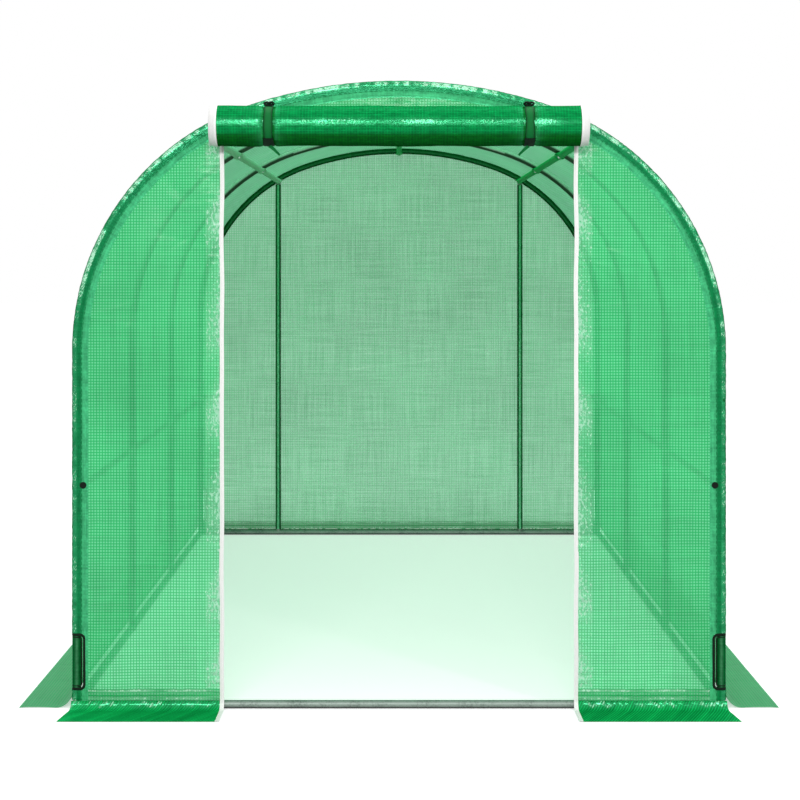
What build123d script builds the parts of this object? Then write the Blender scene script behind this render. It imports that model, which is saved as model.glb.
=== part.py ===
"""Polytunnel greenhouse: a walk-in tunnel of galvanised steel tube under a sewn green mesh film.

Four plug-together hoops stand on a ground frame. Ridge and shoulder purlins with flattened ends hang
under the hoops, a side rail runs inside the legs at hip height, and two posts stiffen the back end.
The cover is a barrel sheet with a front and a back end panel, hemmed round the end hoops, and a skirt
that lies on the ground all round. The door is zipped, and is stored rolled up over the doorway.

Frame: millimetres, +Z up, the front end faces -Y, origin on the ground at the middle of the plan.
Bolts, stitching, weave and creases are not modelled here.
"""

from build123d import *
import os
from math import acos, asin, atan2, cos, degrees, radians, sin, sqrt

# ---------------------------------------------------------------- driving dimensions, mm
# Cross-section of the cover's outside: straight walls, two shoulder arcs and a flatter crown arc.
tunnel_width = 2000.0
tunnel_height = 1919.0
crown_radius = 1450.0
shoulder_radius = 790.0

# Plan
bay_length = 1000.0        # hoop to hoop
bay_count = 3

# Steel tube
tube_diameter = 25.0       # hoops, ground frame, purlins and posts
tube_wall = 1.0
rail_diameter = 19.0       # side rails
rail_wall = 1.0
rail_height = 684.0        # side rail axis above the ground

# Plug joints of the hoops and side rails: a swaged end pushes into the next tube's bore
spigot_length = 40.0
spigot_clearance = 0.2     # between the spigot and the bore, on the radius
swage_length = 4.0         # of the step where a tube narrows to its spigot

# Purlins
purlin_offset = 600.0      # shoulder purlins and back posts, from the centre line of the tunnel
tab_width = 37.0           # of a tube pressed flat
tab_reach = 11.0           # tab's end past the middle of the hoop that it is bolted to
tab_straight = 20.0        # flat length on the bay's side of the hoop
flattening = 48.0          # length over which the round tube becomes the flat tab

# Film
sheet = 2.0                # modelled thickness of the film
side_skirt = 163.0         # skirt's reach from the wall, along both sides
end_skirt = 131.0          # skirt's reach from the end panels
end_splay = 17.0           # how far an end skirt's outer corners stand out past the walls
side_bend = 50.0           # radius of the film where a wall turns out along the ground
end_bend = 25.0

# Hand holes in the hems, where the foot of each end leg shows
hole_bottom = 63.0
hole_height = 165.0
hole_reach = 41.0          # from the outside of the cover
hole_corner = 14.0

# Doorway and its rolled-up door
door_width = 1068.0        # clear between the zips
zip_width = 12.0
zip_thickness = 3.0
head_margin = 16.0         # doorway's head under the hem, at the doorway's corners
roll_radius = 65.0
roll_rise = 14.0           # roll's axis above the doorway's head
roll_core = 15.0           # radius of the innermost turn
roll_pitch = 6.5           # from one turn to the next
roll_length = 1089.0       # green part, between its white edges
roll_edge = 24.0           # white zip tape at each end of the roll
flap_above_head = 20.0     # where the door film is sewn to the panel, over the doorway's head
tie_spacing = 780.0
tie_width = 28.0
tie_thickness = 1.5
tie_tail = 70.0            # most of the tie that is sewn inside the panel, under the hem
tie_over_roll = 5.0        # outer end of the tie, above the roll's top

# Plugs in the ends of the side rails
plug_flange_diameter = 20.0
plug_flange = 3.0
plug_depth = 15.0

# Clearances
cover_gap = 0.5            # film to tube
seat_gap = 0.3             # between pieces that bear on each other
plug_clearance = 0.2       # on the radius, in the rail's bore and in the panel's eyelet

# ---------------------------------------------------------------- derived dimensions
half_width = tunnel_width / 2
half_length = bay_length * bay_count / 2           # middle of the end hoops
tube_radius = tube_diameter / 2
bore_radius = tube_radius - tube_wall
rail_radius = rail_diameter / 2
rail_bore = rail_radius - rail_wall
tab_thickness = 2 * tube_wall + 0.4                # two walls pressed together

shoulder_x = half_width - shoulder_radius          # centres of the arcs
crown_z = tunnel_height - crown_radius
spring_z = crown_z + sqrt((crown_radius - shoulder_radius) ** 2 - shoulder_x**2)
crown_half_angle = degrees(atan2(shoulder_x, spring_z - crown_z))
shoulder_angle = 90 - crown_half_angle             # swept by each shoulder

hoop_inset = sheet + cover_gap + tube_radius       # hoop's centre line, inside the cover's outside
hoop_x = half_width - hoop_inset
hem_inner = tube_radius + cover_gap                # radii of the film round an end hoop
hem_outer = hem_inner + sheet
panel_inner = half_length + hem_inner              # end panel's faces, along Y
panel_outer = half_length + hem_outer
panel_inset = hoop_inset + sqrt(hem_outer**2 - hem_inner**2) + seat_gap
end_foot = end_bend + sheet                        # bottom edge of an end panel
side_foot = side_bend + sheet                      # bottom edge of a side wall
hoop_positions = [bay_length * i - half_length for i in range(bay_count + 1)]
hoop_names = ["front", "second", "third", "rear"]

door_edge = door_width / 2 + zip_width             # where the fixed film beside the doorway ends
hem_inset = hoop_inset + hem_outer                 # inner side of the hem


def arch_height(x, inset):
    """Height of the cross-section at a distance x from the middle, set in from the cover's outside."""
    reach = abs(x)
    if reach <= (crown_radius - inset) * sin(radians(crown_half_angle)):
        return crown_z + sqrt((crown_radius - inset) ** 2 - reach**2)
    return spring_z + sqrt((shoulder_radius - inset) ** 2 - (reach - shoulder_x) ** 2)


door_head = arch_height(door_edge, hem_inset) - head_margin
roll_z = door_head + roll_rise
roll_y = -panel_outer - seat_gap - roll_radius

# ---------------------------------------------------------------- shared shapes


def ring(outer, inner):
    """Section of a round tube."""
    return Circle(outer) - Circle(inner)


def straight(section, x, start_z, end_z):
    """A section carried up a leg. The section's x points outwards and its y points to the back."""
    foot = Plane(origin=(x, 0, start_z), x_dir=(1, 0, 0), z_dir=(0, 0, 1))
    return extrude(foot * section, amount=end_z - start_z)


def bend(section, centre_x, centre_z, radius, start, end):
    """A section carried round an arc, from one angle above +X to another, in degrees."""
    a = radians(start)
    here = Plane(
        origin=(centre_x + radius * cos(a), 0, centre_z + radius * sin(a)),
        x_dir=(cos(a), 0, sin(a)),
        z_dir=(-sin(a), 0, cos(a)),
    )
    pivot = Axis((centre_x, 0, centre_z), (0, -1, 0))
    return revolve(here * section, axis=pivot, revolution_arc=end - start)


def shoulder_bend(section, inset, start, end):
    return bend(section, shoulder_x, spring_z, shoulder_radius - inset, start, end)


def crown_bend(section, inset, start, end):
    return bend(section, 0, crown_z, crown_radius - inset, start, end)


def both_sides(right_piece):
    """A right-hand piece with its mirror image on the left."""
    return Compound(children=[right_piece, mirror(right_piece, about=Plane.YZ)])


def at_back(front_piece):
    return mirror(front_piece, about=Plane.XZ)


# ---------------------------------------------------------------- hoops


def hoop_leg():
    """Right leg, from the ground to the spring line, with a spigot that follows the shoulder's curve."""
    top = spring_z - seat_gap
    spigot_radius = bore_radius - spigot_clearance
    spigot = ring(spigot_radius, spigot_radius - tube_wall)
    spigot_angle = degrees(spigot_length / (shoulder_radius - hoop_inset))
    leg = straight(ring(tube_radius, bore_radius), hoop_x, 0, top - swage_length)
    leg += straight(ring(tube_radius, spigot_radius - tube_wall), hoop_x, top - swage_length, top)
    leg += straight(spigot, hoop_x, top, spring_z)
    leg += shoulder_bend(spigot, hoop_inset, 0, spigot_angle)
    return leg


def hoop_shoulder():
    """Right shoulder tube, with a spigot that follows the crown's curve."""
    spigot_radius = bore_radius - spigot_clearance
    spigot = ring(spigot_radius, spigot_radius - tube_wall)
    arc_radius = shoulder_radius - hoop_inset
    end = shoulder_angle - degrees(seat_gap / arc_radius)
    swage_start = end - degrees(swage_length / arc_radius)
    spigot_angle = degrees(spigot_length / (crown_radius - hoop_inset))
    tube = shoulder_bend(ring(tube_radius, bore_radius), hoop_inset, 0, swage_start)
    tube += shoulder_bend(ring(tube_radius, spigot_radius - tube_wall), hoop_inset, swage_start, end)
    tube += shoulder_bend(spigot, hoop_inset, end, shoulder_angle)
    tube += crown_bend(spigot, hoop_inset, shoulder_angle, shoulder_angle + spigot_angle)
    return tube


def hoop_crown():
    """Crown tube, open at both ends for the shoulders' spigots."""
    return crown_bend(
        ring(tube_radius, bore_radius), hoop_inset, shoulder_angle, 180 - shoulder_angle
    )


def hoops():
    legs, shoulders, crown = both_sides(hoop_leg()), both_sides(hoop_shoulder()), hoop_crown()
    pieces = {}
    for name, y in zip(hoop_names, hoop_positions):
        pieces[f"{name}_hoop_legs"] = Pos(0, y, 0) * legs
        pieces[f"{name}_hoop_shoulders"] = Pos(0, y, 0) * shoulders
        pieces[f"{name}_hoop_crown"] = Pos(0, y, 0) * crown
    return pieces


# ---------------------------------------------------------------- ground frame, rails and posts


def tube_between(start, end, outer, inner):
    """A straight round tube from one point to another."""
    along = Vector(*end) - Vector(*start)
    section = Plane(origin=start, z_dir=along) * ring(outer, inner)
    return extrude(section, amount=along.length)


def ground_frame():
    """Tubes on the ground that butt against the feet of the legs."""
    cross_end = hoop_x - tube_radius - seat_gap
    cross = tube_between(
        (-cross_end, 0, tube_radius), (cross_end, 0, tube_radius), tube_radius, bore_radius
    )
    bay_end = bay_length - tube_radius - seat_gap
    bay_tube = tube_between(
        (hoop_x, tube_radius + seat_gap, tube_radius),
        (hoop_x, bay_end, tube_radius),
        tube_radius,
        bore_radius,
    )
    right = Compound(children=[Pos(0, y, 0) * bay_tube for y in hoop_positions[:-1]])
    return {
        "front_base_rail": Pos(0, -half_length, 0) * cross,
        "rear_base_rail": Pos(0, half_length, 0) * cross,
        "right_base_rail": right,
        "left_base_rail": mirror(right, about=Plane.YZ),
    }


rail_x = hoop_x - tube_radius - seat_gap - rail_radius


def rail_length(start_y, end_y, outer, inner):
    """A length of round tube on the right side rail's axis."""
    return tube_between((rail_x, start_y, rail_height), (rail_x, end_y, rail_height), outer, inner)


def side_rails():
    """Rails inside the legs, in one plug-together length for each bay."""
    rail_end = panel_inner - seat_gap
    spigot_radius = rail_bore - spigot_clearance
    joints = [-rail_end] + hoop_positions[1:-1] + [rail_end]
    lengths = []
    for start, end in zip(joints[:-1], joints[1:]):
        has_spigot = end != rail_end
        stop = end - seat_gap if has_spigot else end
        swage_start = stop - swage_length if has_spigot else stop
        length = rail_length(start, swage_start, rail_radius, rail_bore)
        if has_spigot:
            length += rail_length(swage_start, stop, rail_radius, spigot_radius - rail_wall)
            length += rail_length(stop, end + spigot_length, spigot_radius, spigot_radius - rail_wall)
        lengths.append(length)
    right = Compound(children=lengths)
    return {"right_side_rail": right, "left_side_rail": mirror(right, about=Plane.YZ)}


def rail_end_plugs():
    """Plugs through the end panels' eyelets into the bores of the side rails."""
    face = panel_outer + seat_gap
    at_face = Plane(origin=(rail_x, -face, rail_height), z_dir=(0, 1, 0))
    stem = Circle(rail_bore - plug_clearance)
    plug = extrude(at_face * Circle(plug_flange_diameter / 2), amount=-plug_flange)
    plug += extrude(at_face * stem, amount=plug_depth)
    front = both_sides(plug)
    return {"rail_end_plugs": Compound(children=[front, at_back(front)])}


# ---------------------------------------------------------------- purlins

tab_step = tab_thickness + seat_gap                 # two tabs share a bolt under an inner hoop
tab_inset = hoop_inset + tube_radius + seat_gap + tab_thickness / 2


def flattened_end(drop):
    """End of a purlin tube along +Y, pressed from round at the origin into a flat bolting tab."""
    round_end = Plane(origin=(0, 0, 0), x_dir=(1, 0, 0), z_dir=(0, 1, 0))
    half_pressed = Plane(origin=(0, flattening * 0.55, -drop / 2), x_dir=(1, 0, 0), z_dir=(0, 1, 0))
    flat_end = Plane(origin=(0, flattening, -drop), x_dir=(1, 0, 0), z_dir=(0, 1, 0))
    mid_half_width = (tube_radius + tab_width / 2) / 2
    press = loft(
        [
            round_end * Circle(tube_radius),
            half_pressed * Ellipse(mid_half_width, tube_radius * 0.55),
            flat_end * Ellipse(tab_width / 2, tab_thickness / 2),
        ]
    )
    tab_length = tab_straight + tab_reach
    outline = Pos(0, tab_length / 2) * RectangleRounded(tab_width, tab_length, tab_reach * 0.8)
    outline += Pos(0, tab_length / 4) * Rectangle(tab_width, tab_length / 2)
    flat_face = Plane(origin=(0, flattening, -drop - tab_thickness / 2))
    return press + extrude(flat_face * outline, amount=tab_thickness)


def purlin_tube(front_drop, rear_drop):
    """One bay's purlin, from the middle of a hoop at y = 0 to the next, its tabs under both hoops."""
    round_start = tab_straight + flattening
    round_length = bay_length - 2 * round_start
    body_face = Plane(origin=(0, round_start, 0), z_dir=(0, 1, 0))
    body = extrude(body_face * Circle(tube_radius), amount=round_length)
    rear = Pos(0, bay_length - round_start, 0) * flattened_end(rear_drop)
    front = Pos(0, round_start, 0) * mirror(flattened_end(front_drop), about=Plane.XZ)
    return body + rear + front


def purlin(x):
    """Three bays of purlin under the hoops, square to the arch at a distance x from the middle."""
    if abs(x) <= (crown_radius - hoop_inset) * sin(radians(crown_half_angle)):
        centre_x, centre_z, radius = 0, crown_z, crown_radius
    else:
        centre_x, centre_z, radius = shoulder_x, spring_z, shoulder_radius
    lean = asin((x - centre_x) / (radius - hoop_inset))
    reach = radius - tab_inset
    place = Pos(centre_x + reach * sin(lean), 0, centre_z + reach * cos(lean))
    turned = place * Rot(0, degrees(lean), 0)
    first, other = purlin_tube(0, 0), purlin_tube(tab_step, 0)
    bays = [first] + [other] * (bay_count - 1)
    return Compound(children=[Pos(0, y, 0) * turned * bay for y, bay in zip(hoop_positions, bays)])


def purlins():
    right = purlin(purlin_offset)
    return {
        "ridge_purlin": purlin(0),
        "right_purlin": right,
        "left_purlin": mirror(right, about=Plane.YZ),
    }


def rear_posts():
    """Posts of the back end: coped over the ground tube, and mitred under the purlins' rear tabs."""
    top = arch_height(purlin_offset, hoop_inset)
    post = tube_between(
        (purlin_offset, half_length, tube_radius),
        (purlin_offset, half_length, top),
        tube_radius,
        bore_radius,
    )
    saddle_face = Plane(origin=(0, half_length, tube_radius), z_dir=(1, 0, 0))
    post -= extrude(saddle_face * Circle(tube_radius + seat_gap), amount=tunnel_width)
    lean = asin((purlin_offset - shoulder_x) / (shoulder_radius - hoop_inset))
    under_tab = shoulder_radius - tab_inset - tab_thickness / 2 - seat_gap
    mitre = Plane(
        origin=(shoulder_x + under_tab * sin(lean), half_length, spring_z + under_tab * cos(lean)),
        z_dir=(sin(lean), 0, cos(lean)),
    )
    post -= extrude(mitre * Circle(4 * tube_radius), amount=4 * tube_diameter)
    return {"rear_posts": both_sides(post)}


# ---------------------------------------------------------------- barrel cover and skirts


def barrel():
    """The barrel sheet over the hoops: two walls, two shoulders and the crown."""
    strip = Rectangle(sheet, 2 * half_length)
    mid = sheet / 2
    wall = straight(strip, half_width - mid, side_foot, spring_z)
    shoulder = shoulder_bend(strip, mid, 0, shoulder_angle)
    crown = crown_bend(strip, mid, shoulder_angle, 180 - shoulder_angle)
    return {
        "right_wall_sheet": wall,
        "left_wall_sheet": mirror(wall, about=Plane.YZ),
        "right_shoulder_sheet": shoulder,
        "left_shoulder_sheet": mirror(shoulder, about=Plane.YZ),
        "crown_sheet": crown,
    }


def skirt_section(bend_radius, reach, thickness):
    """Film that comes down at x = 0, turns out towards +x and lies on the ground up to x = reach."""
    quarter = ring(bend_radius + sheet, bend_radius + sheet - thickness)
    quarter &= Rectangle(reach, reach, align=(Align.MAX, Align.MAX))
    flat = Rectangle(reach - bend_radius, thickness, align=(Align.MIN, Align.MIN))
    return Pos(bend_radius, bend_radius + sheet) * quarter + Pos(bend_radius, 0) * flat


def side_skirts():
    section = skirt_section(side_bend, side_skirt, sheet)
    upright = Plane(origin=(half_width, half_length, 0), x_dir=(1, 0, 0), z_dir=(0, -1, 0))
    right = extrude(upright * section, amount=2 * half_length)
    return {"right_skirt": right, "left_skirt": mirror(right, about=Plane.YZ)}


def end_strip(section, start_x, width):
    """A section in the Y-Z plane, whose x points out of the front end, carried across the tunnel."""
    upright = Plane(origin=(start_x, -panel_outer, 0), x_dir=(0, -1, 0), z_dir=(-1, 0, 0))
    return extrude(upright * section, amount=-width)


def end_skirts():
    """Skirts of the ends, whose outer edges splay from the corners of the tunnel."""
    section = skirt_section(end_bend, end_skirt, sheet)
    outer, far = half_width + end_splay, -panel_outer - end_skirt
    corners = [(half_width, -panel_inner), (outer, -panel_inner), (outer, far)]
    trim = both_sides(extrude(make_face(Polyline(*corners, close=True)), amount=side_foot))
    right = end_strip(section, door_edge, outer - door_edge) - trim
    return {
        "front_skirt_right": right,
        "front_skirt_left": mirror(right, about=Plane.YZ),
        "rear_skirt": at_back(end_strip(section, -outer, 2 * outer) - trim),
    }


# ---------------------------------------------------------------- end panels and hems


def arch_outline(inset):
    """The end of the tunnel as a flat face in x and z, set in from the cover's outside."""
    side, crown, shoulder = half_width - inset, crown_radius - inset, shoulder_radius - inset
    turn = radians(shoulder_angle)
    mid_turn = radians(shoulder_angle / 2)
    spring, top = (side, spring_z), (0, crown_z + crown)
    knuckle = (crown * cos(turn), crown_z + crown * sin(turn))
    mid_shoulder = (shoulder_x + shoulder * cos(mid_turn), spring_z + shoulder * sin(mid_turn))

    def flip(point):
        return (-point[0], point[1])

    edges = [
        Line((side, end_foot), spring),
        ThreePointArc(spring, mid_shoulder, knuckle),
        ThreePointArc(knuckle, top, flip(knuckle)),
        ThreePointArc(flip(knuckle), flip(mid_shoulder), flip(spring)),
        Line(flip(spring), (-side, end_foot)),
        Line((-side, end_foot), (side, end_foot)),
    ]
    return make_face(edges)


def hand_hole():
    """Cutter for the hand hole at the foot of the front right leg."""
    margin = sheet
    width, height = hole_reach + margin, hole_height
    middle = (half_width - hole_reach + width / 2, -half_length, hole_bottom + height / 2)
    upright = Plane(origin=middle, x_dir=(1, 0, 0), z_dir=(0, -1, 0))
    outline = RectangleRounded(width, height, hole_corner)
    outline += Pos(width / 4, 0) * Rectangle(width / 2, height)
    return extrude(upright * outline, amount=hem_outer + margin)


def eyelets():
    """Cutters for the plugs of the side rails, in the front end panel."""
    at_rail = Plane(origin=(rail_x, -half_length, rail_height), z_dir=(0, -1, 0))
    return both_sides(extrude(at_rail * Circle(rail_bore), amount=2 * hem_outer))


def end_panel(outline):
    """A face in x and z made into film on the front end."""
    upright = Plane(origin=(0, -panel_inner, 0), x_dir=(1, 0, 0), z_dir=(0, -1, 0))
    return extrude(upright * outline, amount=sheet)


def end_panels():
    arch = arch_outline(panel_inset)
    holes = Compound(children=[both_sides(hand_hole()), eyelets()])
    beside = Pos(door_edge, 0) * Rectangle(
        half_width, 2 * tunnel_height, align=(Align.MIN, Align.CENTER)
    )
    over = Pos(0, door_head) * Rectangle(
        2 * door_edge, tunnel_height, align=(Align.CENTER, Align.MIN)
    )
    right = end_panel(arch & beside) - holes
    return {
        "front_panel_right": right,
        "front_panel_left": mirror(right, about=Plane.YZ),
        "front_panel_top": end_panel(arch & over),
        "rear_panel": at_back(end_panel(arch) - holes),
    }


def hem():
    """Film wrapped over the front of the front hoop as far as the purlins, open at the hand holes."""
    width = hem_outer + tube_radius
    seen = Pos(hem_outer, 0) * Rectangle(width, hem_outer, align=(Align.MAX, Align.MAX))
    wrap = ring(hem_outer, hem_inner) & seen
    right = straight(wrap, hoop_x, end_foot, spring_z)
    right += shoulder_bend(wrap, hoop_inset, 0, shoulder_angle)
    right += crown_bend(wrap, hoop_inset, shoulder_angle, 90)
    right = Pos(0, -half_length, 0) * right - hand_hole()
    feet_and_arch = right.solids().sort_by(Axis.Z)
    foot, half_arch = feet_and_arch[0], feet_and_arch[-1]
    arch = half_arch + mirror(half_arch, about=Plane.YZ)
    return Compound(children=[arch, both_sides(foot)])


def hems():
    front = hem()
    return {"front_hem": front, "rear_hem": at_back(front)}


# ---------------------------------------------------------------- zips and rolled-up door


def zips():
    """Zip tapes along the doorway, which run on over the skirt."""
    height = door_head - end_foot
    section = skirt_section(end_bend, end_skirt, zip_thickness)
    section += Pos(-sheet, end_foot) * Rectangle(
        zip_thickness, height, align=(Align.MIN, Align.MIN)
    )
    right = end_strip(section, door_width / 2, zip_width)
    return {"right_zip": right, "left_zip": mirror(right, about=Plane.YZ)}


def roll_section():
    """Door film wound up in half turns, with its flap up the panel. x points out of the front end."""
    half_step = roll_pitch / 2
    first = roll_radius - sheet / 2
    turns = int((first - roll_core) / half_step)
    outer_flap = Rectangle(
        sheet, flap_above_head - roll_rise, align=(Align.MIN, Align.MIN)
    )
    section = Pos(-roll_radius, 0) * outer_flap
    for i in range(turns + 1):
        radius = first - i * half_step
        upper = i % 2 == 1
        edge = Align.MIN if upper else Align.MAX
        half = Rectangle(4 * roll_radius, 2 * roll_radius, align=(Align.CENTER, edge))
        wound = ring(radius + sheet / 2, radius - sheet / 2) & half
        section += Pos(half_step if upper else 0, 0) * wound
    return section


def across_roll(section, start_x, width):
    """A section round the roll's axis carried across the tunnel."""
    upright = Plane(origin=(start_x, roll_y, roll_z), x_dir=(0, -1, 0), z_dir=(-1, 0, 0))
    return extrude(upright * section, amount=-width)


def door_roll():
    section = roll_section()
    edge = across_roll(section, roll_length / 2, roll_edge)
    return {
        "door_roll": across_roll(section, -roll_length / 2, roll_length),
        "roll_zip_ends": both_sides(edge),
    }


def tangent_angle(point, radius, turn):
    """Direction of the point where a line from a point outside a circle touches it, in degrees."""
    distance = sqrt(point[0] ** 2 + point[1] ** 2)
    return degrees(atan2(point[1], point[0]) + turn * acos(radius / distance))


def roll_ties():
    """Ties sewn to the panel outside and inside, closed round the roll."""
    radius = roll_radius + seat_gap + tie_thickness / 2
    panel = -(roll_radius + seat_gap)
    to_panel = panel + tie_thickness / 2
    to_inside = panel - sheet - seat_gap - tie_thickness / 2
    outer_end = (to_panel, roll_radius + tie_over_roll)
    under_panel = (to_inside, -roll_rise - 4 * tie_thickness)
    under_hem = arch_height((tie_spacing + tie_width) / 2, hem_inset) - seat_gap - roll_z
    inside_end = (to_inside, min(under_panel[1] + tie_tail, under_hem))
    top = tangent_angle(outer_end, radius, -1)
    low = tangent_angle(under_panel, radius, 1) % 360

    def on_circle(angle):
        return (radius * cos(radians(angle)), radius * sin(radians(angle)))

    path = Wire(
        [
            Edge.make_line(outer_end, on_circle(top)),
            CenterArc((0, 0), radius, top, low - 360 - top).edge(),
            Edge.make_line(on_circle(low), under_panel),
            Edge.make_line(under_panel, inside_end),
        ]
    )
    strap = make_face(path.offset_2d(tie_thickness / 2, kind=Kind.INTERSECTION, side=Side.BOTH))
    tie = across_roll(strap, (tie_spacing - tie_width) / 2, tie_width)
    return {"roll_ties": both_sides(tie)}


# ---------------------------------------------------------------- write one file for each node


def write_parts():
    pieces = {}
    for group in (
        hoops,
        ground_frame,
        side_rails,
        rail_end_plugs,
        purlins,
        rear_posts,
        barrel,
        side_skirts,
        end_skirts,
        end_panels,
        hems,
        zips,
        door_roll,
        roll_ties,
    ):
        pieces.update(group())
    os.makedirs("parts", exist_ok=True)
    for name, piece in pieces.items():
        export_step(Compound(children=piece.solids()), f"parts/{name}.step")


write_parts()
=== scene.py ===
"""Polytunnel greenhouse: the looks of a walk-in tunnel of galvanised tube under a green mesh film.

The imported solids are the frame. The film, hems, skirts, zips and the rolled-up door are built here as
surfaces and stand for the plain solids. Tubes, rails, purlins and plugs keep their solids, with
finished materials. Everything is in metres: +Z up, and the front end faces -Y.
"""

import math

import bpy
import numpy as np
from bpy.props import FloatProperty, FloatVectorProperty, PointerProperty
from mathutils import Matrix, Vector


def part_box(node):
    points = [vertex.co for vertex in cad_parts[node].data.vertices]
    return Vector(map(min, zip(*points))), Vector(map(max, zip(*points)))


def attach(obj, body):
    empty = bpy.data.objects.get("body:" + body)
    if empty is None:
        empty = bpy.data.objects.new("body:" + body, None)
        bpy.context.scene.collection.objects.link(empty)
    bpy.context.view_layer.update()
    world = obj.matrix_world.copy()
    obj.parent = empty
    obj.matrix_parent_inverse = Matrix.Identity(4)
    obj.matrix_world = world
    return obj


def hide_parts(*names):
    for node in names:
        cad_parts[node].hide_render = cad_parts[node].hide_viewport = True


bl_info = {
    "name": "Polytunnel Greenhouse",
    "version": (1, 0, 0),
    "blender": (4, 5, 0),
    "location": "View3D > Sidebar > Polytunnel",
    "description": "Builds the film cover, rolled-up door, fittings and finishes of a walk-in polytunnel",
    "category": "Object",
}

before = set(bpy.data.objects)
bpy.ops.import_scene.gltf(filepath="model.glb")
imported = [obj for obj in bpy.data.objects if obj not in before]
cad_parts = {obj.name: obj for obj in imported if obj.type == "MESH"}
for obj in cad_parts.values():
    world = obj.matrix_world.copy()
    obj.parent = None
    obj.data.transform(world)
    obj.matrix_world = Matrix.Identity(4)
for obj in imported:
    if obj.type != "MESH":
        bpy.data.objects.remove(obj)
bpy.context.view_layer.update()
BODY = "root"
MM = 0.001

# ---------------------------------------------------------------- places read from the frame


def low(node):
    """A node's lowest corner."""
    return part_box(node)[0]


def high(node):
    """A node's highest corner."""
    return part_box(node)[1]


HALF_WIDTH = high("right_wall_sheet").x
TOP = high("crown_sheet").z
SPRING = high("right_wall_sheet").z
WALL_FOOT = low("right_wall_sheet").z
HOOPS = ("front", "second", "third", "rear")
HOOP_Y = [(low(f"{hoop}_hoop_crown").y + high(f"{hoop}_hoop_crown").y) / 2 for hoop in HOOPS]
END_Y = HOOP_Y[-1]
TUBE = (high("front_hoop_crown").y - low("front_hoop_crown").y) / 2
HOOP_X = high("front_hoop_legs").x - TUBE
PANEL_Y = -low("front_panel_right").y
PANEL_X = high("front_panel_right").x
PANEL_FOOT = low("front_panel_right").z
DOOR_EDGE = low("front_panel_right").x
DOOR_HEAD = low("front_panel_top").z
DOOR_HALF = low("right_zip").x
SKIRT_X = high("right_skirt").x
SPLAY = high("front_skirt_right").x - HALF_WIDTH
SKIRT_Y = high("rear_skirt").y
SHEET = high("right_wall_sheet").x - low("right_wall_sheet").x
PANEL_INSET = HALF_WIDTH - PANEL_X
PANEL_MID = PANEL_Y - 0.5 * SHEET
SKIRT_REACH = SKIRT_Y - PANEL_Y
ROLL_R = (high("door_roll").y - low("door_roll").y) / 2
ROLL_Y = (high("door_roll").y + low("door_roll").y) / 2
ROLL_Z = low("door_roll").z + ROLL_R
ROLL_X = high("door_roll").x
ROLL_END = high("roll_zip_ends").x
TIE_WIDTH = 28 * MM
TIE_MID = high("roll_ties").x - 0.5 * TIE_WIDTH
HEM_R = -low("front_hem").y - END_Y
POST_X = high("rear_posts").x - TUBE

# The arch: a flat crown arc, two shoulder arcs and straight legs, all on the cover's outside
CROWN_R = 1.450
SHOULDER_R = 0.790
CROWN_Z = TOP - CROWN_R
SHOULDER_X = HALF_WIDTH - SHOULDER_R
CROWN_TURN = math.atan2(SHOULDER_X, SPRING - CROWN_Z)
CROWN_RUN = CROWN_R * CROWN_TURN
SPRING_RUN = CROWN_RUN + SHOULDER_R * (math.pi / 2 - CROWN_TURN)
HOOP_INSET = HALF_WIDTH - HOOP_X

# The hand holes at the legs' feet: their bottom and top, how far in they reach, and their corners
HOLE_LOW = 63 * MM
HOLE_HIGH = 228 * MM
HOLE_IN = 41 * MM
HOLE_CORNER = 14 * MM

# The purlins' flattened tabs: a tab's thickness, and the gap left over it
TAB = 2.4 * MM
TAB_GAP = 0.3 * MM

# The hems: how far past the hoop's outside they start, in radians, the widths of their flaps, and the
# places and widths of their stitched rows
HEM_WRAP = 0.35
FRONT_FLAP = 38 * MM
REAR_FLAP = 10 * MM
HEM_ROWS = ((7 * MM, 6 * MM), (0.5 * math.pi * HEM_R + 18 * MM, 1.6 * MM))
SLEEVE_R = TUBE + 0.8 * MM

# How far up an end panel its grid has fine rows, which takes in the doubled band along its foot
FOOT_BAND = 45 * MM

# The rolled door: the turns of its spiral, how far apart they lie, and the pinch at each tie
DOOR_TURNS = 7
DOOR_PITCH = 6 * MM
PINCH = 4.5 * MM

# The camera's distance from the front end, and its height
CAMERA_AWAY = 4.8
CAMERA_UP = 1.38


def arch(run, inset=0.0):
    """The arch's x and z at a distance run along its outside from the crown's middle, positive to the
    right, and inset from the outside. An angle from upright grows along the crown arc, then along the
    shoulder arc, and stays level down the leg."""
    side, reach = np.sign(run), np.abs(run)
    on_crown = reach <= CROWN_RUN
    turn = np.where(on_crown, reach / CROWN_R, CROWN_TURN + (reach - CROWN_RUN) / SHOULDER_R)
    turn = np.minimum(turn, math.pi / 2)
    radius = np.where(on_crown, CROWN_R, SHOULDER_R) - inset
    x = np.where(on_crown, 0, SHOULDER_X) + radius * np.sin(turn)
    z = np.where(on_crown, CROWN_Z, SPRING) + radius * np.cos(turn)
    return side * x, np.where(reach >= SPRING_RUN, SPRING - (reach - SPRING_RUN), z)


def arch_height(x, inset=PANEL_INSET):
    """Height of the inset arch over x: the crown's circle, and past its end the shoulder's."""
    reach = np.abs(x)
    knuckle = (CROWN_R - inset) * math.sin(CROWN_TURN)
    over_crown = CROWN_Z + np.sqrt(np.maximum((CROWN_R - inset) ** 2 - reach**2, 0))
    drop = np.maximum((SHOULDER_R - inset) ** 2 - (reach - SHOULDER_X) ** 2, 0)
    return np.where(reach <= knuckle, over_crown, SPRING + np.sqrt(drop))


def leg_run(height):
    """Distance along the arch's outside from the crown's middle down to a height on the leg."""
    return SPRING_RUN + SPRING - height


# ---------------------------------------------------------------- wrinkles


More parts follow.
